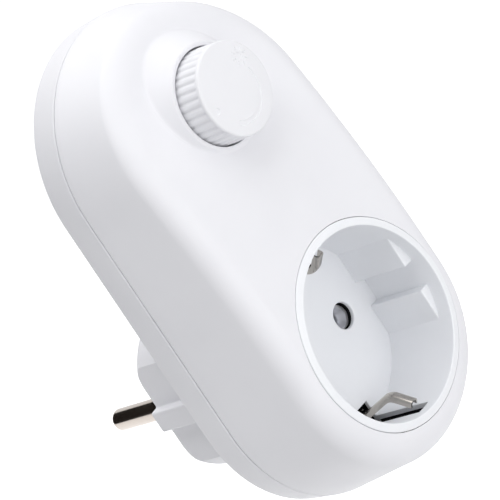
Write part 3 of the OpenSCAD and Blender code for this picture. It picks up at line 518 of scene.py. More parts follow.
SEAM_R = cover_high[0]
Z_LOW = cover_low[2] + SEAM_R
Z_HIGH = cover_high[2] - SEAM_R
Y_FRONT = cover_low[1]
Y_SEAM = -31.8
SEAM_GAP = 0.3
SEAM_DEPTH = Y_SEAM - Y_FRONT
WALL = 2.0
FRONT_ROUND = 5.5
RING_R = span("socket_insert")[1][0]
RING_GAP = 0.12
FACE_MARGIN = 0.07
ROUND_LEAD = 0.8
OPENING_R = RING_R + RING_GAP
FACE_R = OPENING_R + FACE_MARGIN
ROUND_FROM = OPENING_R - ROUND_LEAD
DOME_R = 300.0
DOME_Z = -4.5
KNOB_Z = (knob_low[2] + knob_high[2]) / 2
Y_RIM = -50.4
Y_WELL = -44.8
Y_PLATE = -42.8
WELL_R = 10.11
RIM_R = 10.9
COLLAR_OUT = 15.9
BUSH_R = 4.0
print("seam radius", round(SEAM_R, 2), "ends at", round(Z_LOW, 2), round(Z_HIGH, 2),
      "front", round(Y_FRONT, 2))

# %% Write the face as a height
COLLAR_SPREAD = math.tan(math.radians(36))
COLLAR_FILLET = 0.4
RIM_ROUND = 0.35
PAD_SLOPE = 4


def dome(z):
    """How far the domed face falls back at height z."""
    return DOME_R - np.sqrt(DOME_R ** 2 - (z - DOME_Z) ** 2)


def soft_min(first, second, width):
    """The nearer of two depths, with the corner between them filled."""
    close = np.maximum(width - np.abs(first - second), 0) / width
    return np.minimum(first, second) - close ** 2 * width / 4


def collar(x, z):
    """Depth of the collar: a flat rim that bends into a straight slope."""
    slope = (np.hypot(x, z - KNOB_Z) - RIM_R) / COLLAR_SPREAD
    return Y_RIM - soft_min(0, -slope, RIM_ROUND)


def seam_skin(x, z, depth):
    """Depth of the casing without its collar, where depth is how far the profile lies behind the face."""
    fade = np.maximum(0, 1 - depth / SEAM_DEPTH)
    return Y_FRONT + depth + dome(z) * fade


def outer_skin(x, z, depth):
    """Depth of the outside at (x, z), with the collar."""
    return soft_min(seam_skin(x, z, depth), collar(x, z), COLLAR_FILLET)


def inner_skin(x, z, depth):
    """Depth of the inside, with a thick pad behind the knob."""
    pad = Y_PLATE - PAD_SLOPE * np.maximum(0, np.hypot(x, z - KNOB_Z) - COLLAR_OUT)
    return np.maximum(seam_skin(x, z, depth), pad)


def rounded(x, z, radius):
    """How far an edge of this radius has fallen back at (x, z)."""
    out = np.hypot(x, z - np.clip(z, Z_LOW, Z_HIGH)) - ROUND_FROM
    return radius - np.sqrt(radius ** 2 - np.maximum(0, out) ** 2)


# %% Walk round the outline
END_STEPS = 96
LOWER_STEPS = 16
UPPER_STEPS = 10
SPLIT_STEPS = 32
SPREAD_STEPS = 14
SPLIT_Z = (OPENING_R + KNOB_Z - COLLAR_OUT) / 2
bend = np.linspace(0, np.pi, END_STEPS + 1)
lower_side = np.linspace(SPLIT_Z, Z_LOW, LOWER_STEPS, endpoint=False)
upper_side = np.linspace(SPLIT_Z, Z_HIGH, UPPER_STEPS, endpoint=False)
LOWER = np.array([(1, 0, z) for z in lower_side]
                 + [(math.cos(a), -math.sin(a), Z_LOW) for a in bend]
                 + [(-1, 0, z) for z in lower_side[::-1]])
UPPER = np.array([(-1, 0, z) for z in upper_side]
                 + [(-math.cos(a), math.sin(a), Z_HIGH) for a in bend]
                 + [(1, 0, z) for z in upper_side[::-1]])
AROUND = np.vstack((LOWER[:-1], UPPER[:-1]))


def flat_ring(walk, radius):
    """Outline points (x, z) at a radius from the casing's spine."""
    return np.column_stack((radius * walk[:, 0], walk[:, 2] + radius * walk[:, 1]))


def skin_ring(skin, radius, depth):
    """A closed ring on a skin."""
    flat = flat_ring(AROUND, radius)
    return standing(flat, skin(*flat.T, depth))


def half_border(walk):
    """Border of one half of the face: its stretch of the outline and the split line."""
    split = np.linspace(walk[-1, 0] * FACE_R, walk[0, 0] * FACE_R, SPLIT_STEPS + 1)[1:-1]
    return np.vstack((flat_ring(walk, FACE_R), np.column_stack((split, np.full(len(split), SPLIT_Z)))))


def face_half(walk, centre_z, radii, skin, depth):
    """Rings of one half of the face, from circles round a centre out to the border."""
    border = half_border(walk) - (0, centre_z)
    reach = np.linalg.norm(border, axis=1)
    toward = border / reach[:, None]
    circles = [np.full(len(border), radius) for radius in radii]
    last = radii[-1]
    spread = [last + (reach - last) * step for step in np.linspace(0, 1, SPREAD_STEPS + 1)[1:]]
    rings = []
    for radius in circles + spread:
        flat = toward * radius[:, None] + (0, centre_z)
        back = depth + rounded(*flat.T, FRONT_ROUND - depth)
        rings.append(standing(flat, skin(*flat.T, back)))
    return rings


# %% Mould the front shell
EDGE_STEPS = 14
SIDE_STEPS = 8
RIM_EDGE = 0.15
RIM_STEPS = 4
COLLAR_ROWS = 36
SEAM_EDGE = 0.3
seam_out, seam_back = SEAM_R - ROUND_FROM, SEAM_DEPTH - FRONT_ROUND
LEAN = math.atan2(seam_out, seam_back) - math.asin(FRONT_ROUND / math.hypot(seam_out, seam_back))
front_edge = SEAM_DEPTH - SEAM_GAP / 2
shell = Patches()


def edge_line(radius):
    """Points (radius, depth) on the rounded edge, from the face's border to the straight side."""
    first = math.acos((FACE_R - ROUND_FROM) / radius)
    return [(ROUND_FROM + radius * math.cos(a), FRONT_ROUND - radius * math.sin(a))
            for a in np.linspace(first, LEAN, EDGE_STEPS + 1)]


side = edge_line(FRONT_ROUND)
corner = (SEAM_R, front_edge)
side += [tuple(np.array(side[-1]) + (np.array(corner) - side[-1]) * step)
         for step in np.linspace(0, 1, SIDE_STEPS + 1)[1:-1]]
seam_edge = eased([side[-1], corner, (SEAM_R - WALL, front_edge)], SEAM_EDGE)[1:]
seam_rings = [skin_ring(seam_skin, radius, depth) for radius, depth in seam_edge]
shell.loft([skin_ring(outer_skin, radius, depth) for radius, depth in side] + seam_rings)

inside = edge_line(FRONT_ROUND - WALL) + [(SEAM_R - WALL, front_edge)]
inside_rings = [skin_ring(inner_skin, radius, depth) for radius, depth in inside]
inside_rings[-1] = seam_rings[-1]
shell.loft(inside_rings)

socket_face = face_half(LOWER, 0, [OPENING_R], outer_skin, 0)
socket_back = face_half(LOWER, 0, [OPENING_R], inner_skin, WALL)
shell.loft(socket_face)
shell.loft(socket_back)
shell.loft([socket_face[0], socket_back[0]])

collar_rows = np.linspace(WELL_R + RIM_EDGE, COLLAR_OUT, COLLAR_ROWS)
knob_face = face_half(UPPER, KNOB_Z, collar_rows, outer_skin, 0)
knob_back = face_half(UPPER, KNOB_Z, [BUSH_R, WELL_R], inner_skin, WALL)
shell.loft(knob_face)
shell.loft(knob_back)
toward = knob_face[0] - (0, 0, KNOB_Z)
toward = toward[:, (0, 2)] / np.linalg.norm(toward[:, (0, 2)], axis=1)[:, None]


def well_ring(radius, depth):
    """A ring in the knob's well; depth is one value or one per point."""
    return standing(toward * radius + (0, KNOB_Z), depth)


rim = [well_ring(WELL_R + RIM_EDGE * out, knob_face[0][:, 1] + RIM_EDGE * back)
       for out, back in quarter_round(RIM_STEPS)]
shell.loft(rim + [well_ring(WELL_R, Y_WELL), well_ring(BUSH_R, Y_WELL), knob_back[0]])
piece("front_shell", shell, "casing", "casing", "front_cover")
print("side lean in degrees:", round(math.degrees(LEAN), 2))

# %% [markdown]
# ## Rear shell and plug
# The back half is a shallow tray with the plug body on its back: a round boss with two flats, a
# key ridge on each flat, an earth channel above and below and a rounded nose. The tray is a loft
# round the same outline; the plug is a loft of its cross-section; flat faces with holes are
# filled by triangulation between the loops.

# %% Draw the plug's cross-section
Y_REAR = -24.3
Y_INSIDE = Y_REAR - WALL
REAR_DRAW = 0.5
REAR_EDGE = 0.9
PLUG_R = 18.7
NOSE_ROUND = 2.8
FLAT_X = 14.4
RIDGE_X = 16.7
RIDGE_W = 4.8
RIDGE_EDGE = 0.5
CHANNEL_HALF = 3.1
CHANNEL_FLOOR = 16.3
CHANNEL_START = -17.3
WINDOW_END = -12.3
WINDOW_FLOOR = 12.9
ARC_STEPS = 18
CIRCLE_STEPS = 40
FLAT_MARGIN = 1.0
PLUG_FOOT = 0.6
NOSE_WALL = 3.0
SIDES = {"left": -1, "right": 1}
pin_low, pin_high = span("plug_pin_right")
PIN_X = (pin_low[0] + pin_high[0]) / 2
PIN_HOLE_R = 2.7


def plug_loop(radius, y, floor=None, grow=0.0):
    """Cross-section of the plug body at depth y; floor is the earth channel's floor, if cut."""
    flat_x = min(FLAT_X, radius - FLAT_MARGIN) + grow
    ridge_x = min(RIDGE_X, math.sqrt(radius ** 2 - (RIDGE_W / 2) ** 2)) + grow
    radius = radius + grow
    ridge_z = RIDGE_W / 2 + grow
    start = math.degrees(math.acos(flat_x / radius))
    end = math.degrees(math.acos(CHANNEL_HALF / radius))
    step = eased([(ridge_x, 0), (ridge_x, ridge_z), (flat_x, ridge_z),
                  (flat_x, radius * math.sin(math.radians(start)))], RIDGE_EDGE)
    top = arc((0, 0), radius, start, end, ARC_STEPS)[1:]
    level = top[-1][1] if floor is None else floor
    channel = [(CHANNEL_HALF, level), (0, level if floor else radius)]
    quarter = np.vstack((step, top, channel))
    upper = np.vstack((quarter, (quarter * (-1, 1))[::-1][1:]))
    whole = np.vstack((upper, (upper * (1, -1))[::-1][1:-1]))
    return standing(whole, y)


def circle(x, z, y, radius):
    """A round loop at depth y."""
    return turned([(radius, y)], x, z, CIRCLE_STEPS)[0]


def pin_circles(y, radius):
    """A round loop at depth y for each of the two pins."""
    return [circle(s * PIN_X, 0, y, radius) for s in SIDES.values()]


# %% Mould the rear shell
SCREW_POCKET_R = 3.0
SCREW_POCKET = 1.2
SCREW_HOLE_R = 1.7
screws_low, screws_high = span("cover_screws")
HEAD_R = 2.7
SCREWS = [(0.0, screws_high[2] - HEAD_R),
          (screws_low[0] + HEAD_R, screws_low[2] + HEAD_R),
          (screws_high[0] - HEAD_R, screws_low[2] + HEAD_R)]
rear_seam = Y_SEAM + SEAM_GAP / 2
REAR_SEAM_EDGE = 0.4
REAR_LAND = 4.0
EASE_STEPS = 6
FOOT_STEPS = 4
NOSE_STEPS = 9
CHANNEL_MARGIN = 0.4
FLAT_WALL = 1.4
HOLLOW_R = 14.5
HOLLOW_X = FLAT_X - FLAT_WALL
HOLLOW_STEPS = 24


def tray_ring(radius, y):
    """A ring of the tray at depth y."""
    return standing(flat_ring(AROUND, radius), y)


def hollow_loop(y):
    """The plug's hollow: a round bore between the two flats."""
    start = math.degrees(math.acos(HOLLOW_X / HOLLOW_R))
    right = arc((0, 0), HOLLOW_R, start, 180 - start, HOLLOW_STEPS)
    return standing(np.vstack((right, -right)), y)


tray = Patches()
rear_r = SEAM_R - REAR_DRAW
inside_r = SEAM_R - WALL - REAR_DRAW
pocket_y = Y_REAR - SCREW_POCKET
wall_line = eased([(SEAM_R - WALL, rear_seam), (SEAM_R, rear_seam), (rear_r, Y_REAR),
                   (rear_r - REAR_LAND, Y_REAR)], (0, REAR_SEAM_EDGE, REAR_EDGE, 0), EASE_STEPS)[:-1]
tray.loft([tray_ring(radius, y) for radius, y in wall_line])
tray.loft([tray_ring(*wall_line[0]), tray_ring(inside_r, Y_INSIDE)])
foot = [plug_loop(PLUG_R, Y_REAR + PLUG_FOOT * back, None, PLUG_FOOT * out)
        for out, back in quarter_round(FOOT_STEPS)]
tray.fill(tray_ring(*wall_line[-1]), foot[0], *[circle(x, z, Y_REAR, SCREW_POCKET_R) for x, z in SCREWS])
tray.fill(tray_ring(inside_r, Y_INSIDE), hollow_loop(Y_INSIDE),
          *[circle(x, z, Y_INSIDE, SCREW_HOLE_R) for x, z in SCREWS])
for x, z in SCREWS:
    tray.loft(turned([(SCREW_POCKET_R, Y_REAR), (SCREW_POCKET_R, pocket_y), (SCREW_HOLE_R, pocket_y),
                      (SCREW_HOLE_R, Y_INSIDE)], x, z, CIRCLE_STEPS))
nose = [(PLUG_R - NOSE_ROUND * back, -NOSE_ROUND * out) for out, back in quarter_round(NOSE_STEPS)]
tray.loft(foot + [plug_loop(PLUG_R, CHANNEL_START)])
cut = [plug_loop(PLUG_R, CHANNEL_START, WINDOW_FLOOR), plug_loop(PLUG_R, WINDOW_END, WINDOW_FLOOR),
       plug_loop(PLUG_R, WINDOW_END, CHANNEL_FLOOR)]
cut += [plug_loop(radius, y, min(CHANNEL_FLOOR, radius - CHANNEL_MARGIN)) for radius, y in nose]
tray.loft([plug_loop(PLUG_R, CHANNEL_START)] + cut)
tray.fill(cut[-1], *pin_circles(0, PIN_HOLE_R))
tray.loft([hollow_loop(Y_INSIDE), hollow_loop(-NOSE_WALL)])
tray.fill(hollow_loop(-NOSE_WALL), *pin_circles(-NOSE_WALL, PIN_HOLE_R))
for s in SIDES.values():
    tray.loft(turned([(PIN_HOLE_R, 0), (PIN_HOLE_R, -NOSE_WALL)], s * PIN_X, 0, CIRCLE_STEPS))
piece("rear_shell", tray, "casing", "casing", "rear_cover", crease=32)

# %% [markdown]
# ## Socket insert and its floor
# The socket's lining is a separate cup. Its ring stands a little proud of the dome, its wall has a
# slot above and below for the earth springs, and two pairs of ribs leave a groove on each side for
# the plug's key. The wall is a loft that skips the slots; the ribs are four bevelled prisms.

# %% Mould the socket insert
SOCKET_R = 19.85
Y_FLOOR = span("contact_carrier")[0][1]
SLOT_HALF = 1.85
SLOT_DROP = 2.6
RIB_FACE = 17.2
RIB_DROP = 3.1
GROOVE_HALF = 2.9
RING_EDGE = 0.35
RING_OUTER_EDGE = 0.2
RING_OUTER_RISE = 0.15
RING_INNER_RISE = 0.5
RING_DEPTH = 1.5
CUP_T = 1.0
CUP_R = SOCKET_R + CUP_T
BRIDGE_STEPS = 6
WALL_STEPS = 84


def slotted_ring(radius):
    """Points round a circle, with points exactly at the edges of the two slots."""
    edge = math.asin(SLOT_HALF / radius)
    bridge = np.linspace(-edge, edge, BRIDGE_STEPS + 1)[:-1]
    wall = np.linspace(edge, math.pi - edge, WALL_STEPS + 1)[:-1]
    angle = np.concatenate((bridge, wall, bridge + math.pi, wall + math.pi))
    return np.column_stack((radius * np.sin(angle), radius * np.cos(angle)))


def on_dome(radius, depth):
    """A ring that follows the dome, depth behind it."""
    flat = slotted_ring(radius)
    return standing(flat, Y_FRONT + dome(flat[:, 1]) + depth)


def at_depth(radius, y):
    """A flat ring at depth y."""
    return standing(slotted_ring(radius), y)


cup = Patches()
lip = eased([(RING_R, RING_DEPTH), (RING_R, -RING_OUTER_RISE), (SOCKET_R, -RING_INNER_RISE),
             (SOCKET_R, RING_DEPTH)], (0, RING_OUTER_EDGE, RING_EDGE, 0))
slot_y = Y_FRONT + SLOT_DROP
outer, inner = at_depth(CUP_R, slot_y), at_depth(SOCKET_R, slot_y)
outer_end, inner_end = at_depth(CUP_R, Y_FLOOR), at_depth(SOCKET_R, Y_FLOOR)
cup.loft([outer, at_depth(RING_R, slot_y)] + [on_dome(r, depth) for r, depth in lip] + [inner])
slots = [(0, BRIDGE_STEPS), (BRIDGE_STEPS + WALL_STEPS, 2 * BRIDGE_STEPS + WALL_STEPS)]
for first, last in slots:
    bridge = list(range(first, last + 1))
    cup.loft([outer[bridge], inner[bridge]], closed=False)
    wall = [(last + step) % len(outer) for step in range(WALL_STEPS + 1)]
    cup.loft([inner[wall], inner_end[wall], outer_end[wall], outer[wall]], closed=False)
    for end in (wall[0], wall[-1]):
        cup.cap([outer[end], inner[end], inner_end[end], outer_end[end]])
piece("socket_lining", cup, "insert", "casing", "socket_insert")

# %% Mould the ribs
RIB_STEPS = 8
RIB_ROOT = 0.3
RIB_FOOT = 0.2
RIB_EDGE = 0.3
reach = SOCKET_R + RIB_ROOT
rib_start = math.degrees(math.asin(GROOVE_HALF / reach))
rib_end = math.degrees(math.acos(RIB_FACE / reach))
rib_line = np.vstack(((RIB_FACE, GROOVE_HALF), arc((0, 0), reach, rib_start, rib_end, RIB_STEPS)))
for side_name, sx in SIDES.items():
    for level_name, sz in (("lower", -1), ("upper", 1)):
        rib = Patches()
        rib.prism([standing(rib_line * (sx, sz), y) for y in (Y_FRONT + RIB_DROP, Y_FLOOR + RIB_FOOT)])
        piece(f"rib_{level_name}_{side_name}", rib, "insert", "casing", soften=RIB_EDGE)

# %% Mould the floor with its two holes
HOLE_R = 2.8
HOLE_EDGE = 0.3
HOLE_STEPS = 5
LIP_T = 0.8
Y_CARRIER = -34.0
SEAT_R = 4.7
SLOT_INNER = 16.0
RELIEF_HALF = 3.05
RELIEF_INNER = 14.5
RELIEF_OUTER = 19.0
PLATE_STEPS = 96
y_lip = Y_FLOOR + LIP_T


def plate_loop(y, half, inner, outer):
    """Outline of the floor plate at depth y, with a notch at each slot from inner to outer."""
    edge = math.degrees(math.asin(RELIEF_HALF / RING_R))
    right = arc((0, 0), RING_R, -90 + edge, 90 - edge, PLATE_STEPS)
    notch = [(half, outer), (half, inner), (-half, inner), (-half, outer)]
    return standing(np.vstack((right, notch, -right, -np.array(notch))), y)


slot_rim = math.sqrt(RING_R ** 2 - SLOT_HALF ** 2)
plate_loops = [plate_loop(y, SLOT_HALF, SLOT_INNER, slot_rim) for y in (Y_FLOOR, y_lip)]
plate_loops += [plate_loop(y, RELIEF_HALF, RELIEF_INNER, RELIEF_OUTER) for y in (y_lip, Y_CARRIER)]
plate = Patches()
plate.loft(plate_loops)
plate.fill(plate_loops[0], *pin_circles(Y_FLOOR, HOLE_R + HOLE_EDGE))
plate.fill(plate_loops[-1], *pin_circles(Y_CARRIER, SEAT_R))
hole = [(HOLE_R + HOLE_EDGE * out, Y_FLOOR + HOLE_EDGE * back) for out, back in quarter_round(HOLE_STEPS)]
hole += [(HOLE_R, y_lip), (SEAT_R, y_lip), (SEAT_R, Y_CARRIER)]
for s in SIDES.values():
    plate.loft(turned(hole, s * PIN_X, 0, CIRCLE_STEPS))
piece("socket_floor", plate, "insert", "casing", "contact_carrier")

# %% [markdown]
# ## Contacts, and seats and pockets of painted shade
# Behind each hole sits a black seat with a tinned contact in it: two sprung leaves that narrow
# to a waist and grip the pin. The slots open into black pockets. The seats and pockets are near
# black as painted shade: they stand for the shade deep inside the holes and slots. Each leaf is a
# loft: a sector of a tube, whose radius changes along its length.
# Each leaf is a loft: a sector of a tube, whose radius changes along its length.

# %% Make the contacts and their black seats of painted shade
LEAF_T = 0.5
LEAVES = 2
LEAF_GAP = 0.35
LEAF_LEN = 9.0
LEAF_STEPS = 16
LEAF_TURN = math.radians(-35)
LEAF_TIP = 1.1
LEAF_TIP_WIDTH = 0.3
LEAF_DROP = 2.1
MOUTH_R = 2.65
THROAT_R = 1.5
THROAT_AT = 2.1
LEAF_BEND = 0.7
BORE_R = 2.43
SLEEVE_R = 3.13
SEAT_IN = 3.35
SEAT_BACK = 5.0
SEAT_EDGE = 0.1
TUBE_STEPS = 48
tinned = finish("dull_tin", (0.74, 0.75, 0.79), (0.68, 0.69, 0.73), 0.7, (0.38, 0.5), 0.006, 900, True)
# Painted shade: the seats round the contacts and the pockets behind the slots are near black, to stand for
# the shade deep inside the holes and slots
dark = finish("painted_shade_black", (0.008, 0.008, 0.009), (0.012, 0.012, 0.013), 0, (0.6, 0.75), 0.02, shine=0.1)
sleeve_end = span("socket_contact_right")[1][1]
leaf_y = Y_FLOOR + LEAF_DROP
leaf_end = leaf_y + LEAF_LEN
slope = (THROAT_R - MOUTH_R) / THROAT_AT
leaf_line = [(MOUTH_R + slope * LEAF_TIP * step, leaf_y + LEAF_TIP * step)
             for step in np.linspace(0, 1, EASE_STEPS + 1)]
leaf_line += list(eased([leaf_line[-1], (THROAT_R, leaf_y + THROAT_AT), (BORE_R, leaf_end)],
                        LEAF_BEND, EASE_STEPS)[1:])
tube = [(BORE_R, leaf_end), (BORE_R, sleeve_end), (SLEEVE_R, sleeve_end), (SLEEVE_R, leaf_end)]
seat_line = [(SEAT_IN, y_lip), (SEAT_R, y_lip),
             (SEAT_R, Y_CARRIER + SEAT_BACK), (SEAT_IN, Y_CARRIER + SEAT_BACK)]


def leaf_section(middle, radius, y):
    """Cross-section (x, z) of a leaf, narrowing to a rounded tip at its front end."""
    behind = min(1, (y - leaf_y) / LEAF_TIP)
    share = max(LEAF_TIP_WIDTH, math.sqrt(1 - (1 - behind) ** 2))
    half = (math.pi / LEAVES - LEAF_GAP / (2 * radius)) * share
    around = way(np.linspace(middle - half, middle + half, LEAF_STEPS + 1))
    return np.vstack((around * radius, around[::-1] * (radius + LEAF_T)))


for side_name, s in SIDES.items():
    contact = Patches()
    for leaf in range(LEAVES):
        middle = LEAF_TURN + leaf * 2 * math.pi / LEAVES
        contact.prism([standing(leaf_section(middle, radius, y) + (s * PIN_X, 0), y)
                       for radius, y in leaf_line])
    contact.loft(turned(tube + tube[:1], s * PIN_X, 0, TUBE_STEPS))
    piece(f"contact_{side_name}", contact, "nickel", "casing", f"socket_contact_{side_name}", look=tinned)
    shade_seat_patches = Patches()
    shade_seat_patches.loft(turned(seat_line + seat_line[:1], s * PIN_X, 0, TUBE_STEPS))
    piece(f"shade_seat_{side_name}", shade_seat_patches, "black_case", "casing", soften=SEAT_EDGE, look=dark)

# %% Make the black pockets of painted shade behind the slots
LEVELS = {"upper": 1, "lower": -1}
POCKET_T = 0.6
POCKET_Z = 24.0
POCKET_SIDE = 1.0
POCKET_DROP = 0.2
pocket_out = SLOT_HALF + POCKET_SIDE
pocket_in = pocket_out - POCKET_T
roof = POCKET_Z - POCKET_T
trough = [(-pocket_out, CUP_R), (-pocket_out, POCKET_Z), (pocket_out, POCKET_Z), (pocket_out, CUP_R),
          (pocket_in, CUP_R), (pocket_in, roof), (-pocket_in, roof), (-pocket_in, CUP_R)]
BOX_T = 0.3
BOX_CLEAR = 0.1
box_half, box_inner = RELIEF_HALF - BOX_CLEAR, RELIEF_INNER + BOX_CLEAR
box_front, box_back = y_lip + BOX_CLEAR, Y_CARRIER + BOX_T
BOX_WALLS = [  # half width, inner and outer edge, depth
    (box_half - BOX_T, box_inner + BOX_T, POCKET_Z - BOX_T, box_back - BOX_T),
    (box_half - BOX_T, box_inner + BOX_T, POCKET_Z - BOX_T, box_front),
    (box_half, box_inner, POCKET_Z, box_front),
    (box_half, box_inner, POCKET_Z, box_back),
]
# Painted shade: the near-black trough and box line each slot and the floor's notch, where the socket falls
# into shade
for level_name, flip in LEVELS.items():
    shade_liner = Patches()
    trough_rings = [[(x, y, flip * z) for x, z in trough] for y in (slot_y + POCKET_DROP, Y_CARRIER)]
    box_rings = [[(x * half, y, flip * z) for x, z in ((-1, inner), (1, inner), (1, outer), (-1, outer))]
                 for half, inner, outer, y in BOX_WALLS]
    for rings in (trough_rings, box_rings):
        shade_liner.loft(rings)
        shade_liner.fill(rings[0])
        shade_liner.fill(rings[-1])
    piece(f"shade_pocket_{level_name}", shade_liner, "black_case", "casing", look=dark)

# %% [markdown]
# ## Earth springs and strips
# Inside the socket a spring bulges out of each slot. It is pressed to a channel, with both edges
# turned down, so that a thin sheet is stiff. On the plug a flat strip lies in each earth channel.
# Both are swept: a cross-section is carried along the side view, an arc and a few corners.

# %% Sweep a strip
STRIP_T = 0.6


def strip_rings(path, section):
    """Carries a cross-section (x, height) along a path of (y, z) points."""
    path = np.asarray(path, float)
    along = np.gradient(path, axis=0)
    along /= np.linalg.norm(along, axis=1)[:, None]
    rings = []
    for (y, z), (dy, dz) in zip(path, along):
        rings.append([(x, y + dz * height, z - dy * height) for x, height in section])
    return np.array(rings)


def strip_piece(name, path, section, flip, slot, body, node):
    """One strip, closed at both ends; flip = -1 mirrors it to the lower side."""
    sheet = Patches()
    sheet.prism(strip_rings(path, section) * (1, 1, flip))
    piece(name, sheet, slot, body, node, crease=40)


# %% Bend the earth springs
CLIP_FOOT = 17.5
CLIP_ROOT = 1.2
CLIP_SUNK = 0.95
BULGE_R = 3.6
SPRINGS = {
    # name: side, crest and tip, each as height above the floor and distance from the socket's axis
    "upper": (1, (9.8, 14.8), (14.1, 17.5)),
    "lower": (-1, (8.4, 15.3), (13.7, 18.0)),
}
SHEET_T = 0.35
FLANGE_H = 1.4
CREST_ROUND = 0.8
CREST_STEPS = 8
BULGE_STEPS = 14
LEG_STEPS = 4
half_t = STRIP_T / 2
clip_half = span("earth_clip_upper")[1][0]
hang = FLANGE_H - half_t
under, thin = SHEET_T - half_t, clip_half - SHEET_T
outside = eased([(clip_half, hang), (clip_half, -half_t), (-clip_half, -half_t), (-clip_half, hang)],
                CREST_ROUND, CREST_STEPS)
within = eased([(-thin, hang), (-thin, under), (thin, under), (thin, hang)], CREST_ROUND - SHEET_T)
channel = np.vstack((outside, within))


def touch_angle(rise, run):
    """Angle at which a straight leg meets the round bend."""
    return math.asin(BULGE_R / math.hypot(run, BULGE_R - rise)) - math.atan2(BULGE_R - rise, run)


def spring_path(crest, tip):
    """Side view (y, z) of a spring: a foot, a leg up to the round crest and a leg down to the tip."""
    (crest_h, crest_z), (tip_h, tip_z) = crest, tip
    leg_in = touch_angle(CLIP_FOOT - crest_z, crest_h - CLIP_ROOT)
    leg_out = touch_angle(tip_z - crest_z, tip_h - crest_h)
    line = [(Y_FLOOR + CLIP_SUNK, CLIP_FOOT), (Y_FLOOR - CLIP_ROOT, CLIP_FOOT)]
    line += [(Y_FLOOR - crest_h - BULGE_R * math.sin(a), crest_z + BULGE_R * (1 - math.cos(a)))
             for a in np.linspace(-leg_in, leg_out, BULGE_STEPS + 1)]
    line.append((Y_FLOOR - tip_h, tip_z))
    steps = [np.linspace(a, b, LEG_STEPS + 1)[:-1] for a, b in zip(line, line[1:])]
    return np.vstack(steps + [line[-1:]])


for level_name, (flip, crest, tip) in SPRINGS.items():
    strip_piece(f"earth_spring_{level_name}", spring_path(crest, tip), channel, flip, "spring_steel",
                f"{level_name}_clip", f"earth_clip_{level_name}")

# %% Lay the plug's earth strips
STRIP_EDGE = 0.14
STRIP_EDGE_STEPS = 3
STRIP_BEND = 0.8
strip_low, strip_high = span("plug_earth_upper")
strip_half = strip_high[0]
strip_out = strip_high[2] - half_t
strip_in = strip_low[2] + half_t
plain = eased([(0, -half_t), (strip_half, -half_t), (strip_half, half_t), (-strip_half, half_t),
               (-strip_half, -half_t), (0, -half_t)], STRIP_EDGE, STRIP_EDGE_STEPS)[:-1]
strip_path = eased([(strip_low[1], strip_in), (CHANNEL_START + STRIP_BEND, strip_in),
                    (WINDOW_END - STRIP_BEND, strip_out), (strip_high[1], strip_out)],
                   STRIP_BEND, EASE_STEPS)
for level_name, flip in LEVELS.items():
    strip_piece(f"earth_strip_{level_name}", strip_path, plain, flip, "nickel", "casing",
                f"plug_earth_{level_name}")

# %% [markdown]
# ## Pins
# The two pins are turned from brass bar and nickel plated, with a rounded tip and a flange that
# sits behind the plug's nose. A turned piece is one profile spun round its axis.

# %% Turn the pins
PIN_R = 2.4
PIN_EDGE = 0.15
PIN_EDGE_STEPS = 2
PIN_STEPS = 56
TIP_ROUND = 1.5
TIP_STEPS = 9
ROOT_R = 2.65
ROOT_RISE = 0.25
FLANGE_R = (pin_high[0] - pin_low[0]) / 2
FLANGE_T = 1.5
STEM_R = 3.13
flange_y = -NOSE_WALL - FLANGE_T
pin_line = list(eased([(STEM_R, pin_low[1]), (STEM_R, flange_y), (FLANGE_R, flange_y),
                       (FLANGE_R, -NOSE_WALL), (ROOT_R, -NOSE_WALL), (ROOT_R, 0.0), (PIN_R, ROOT_RISE)],
                      PIN_EDGE, PIN_EDGE_STEPS))
pin_line += [(PIN_R - TIP_ROUND * back, pin_high[1] - TIP_ROUND * out)
             for out, back in quarter_round(TIP_STEPS)]
for side_name, s in SIDES.items():
    pin = Patches()
    rings = turned(pin_line, s * PIN_X, 0, PIN_STEPS)
    pin.loft(rings)
    pin.fan(rings[0])
    pin.fan(rings[-1])
    piece(f"pin_{side_name}", pin, "nickel", "casing", f"plug_pin_{side_name}")

# %% [markdown]
# ## Knob
# The knob is a shallow cap with thirty-six flutes for the fingers. The flutes run out just below
# the face, which has a softly bevelled edge and shallow sunk marks. Cutting flutes with booleans
# would spoil the smooth shading, so each ring of the loft is a wavy circle.

# %% Mould the knob
KNOB_R = 10.0
KNOB_TAPER = 0.4
KNOB_EDGE = 0.45
KNOB_LIFT = 0.3
FLUTES = 36
FLUTE_DEPTH = 0.25
FLUTE_SHARPNESS = 2.0
FLUTE_SAMPLES = 12
FLUTE_LEAD = 0.15
FLUTE_STOP = 1.1
FADE_STEPS = 5
SKIRT_T = 1.5
FACE_T = 2.0
HUB_R = 5.0
HUB_BORE = 3.05
y_face, y_foot, y_hub = knob_low[1], Y_WELL - KNOB_LIFT, knob_high[1]
knob_turn = np.linspace(0, 2 * np.pi, FLUTES * FLUTE_SAMPLES, endpoint=False)
wave = (0.5 + 0.5 * np.cos(FLUTES * knob_turn)) ** FLUTE_SHARPNESS


def knob_ring(radius, y, flute):
    """A ring of the knob, with flutes cut to a depth."""
    return standing((radius - flute * wave)[:, None] * way(knob_turn) + (0, KNOB_Z), y)


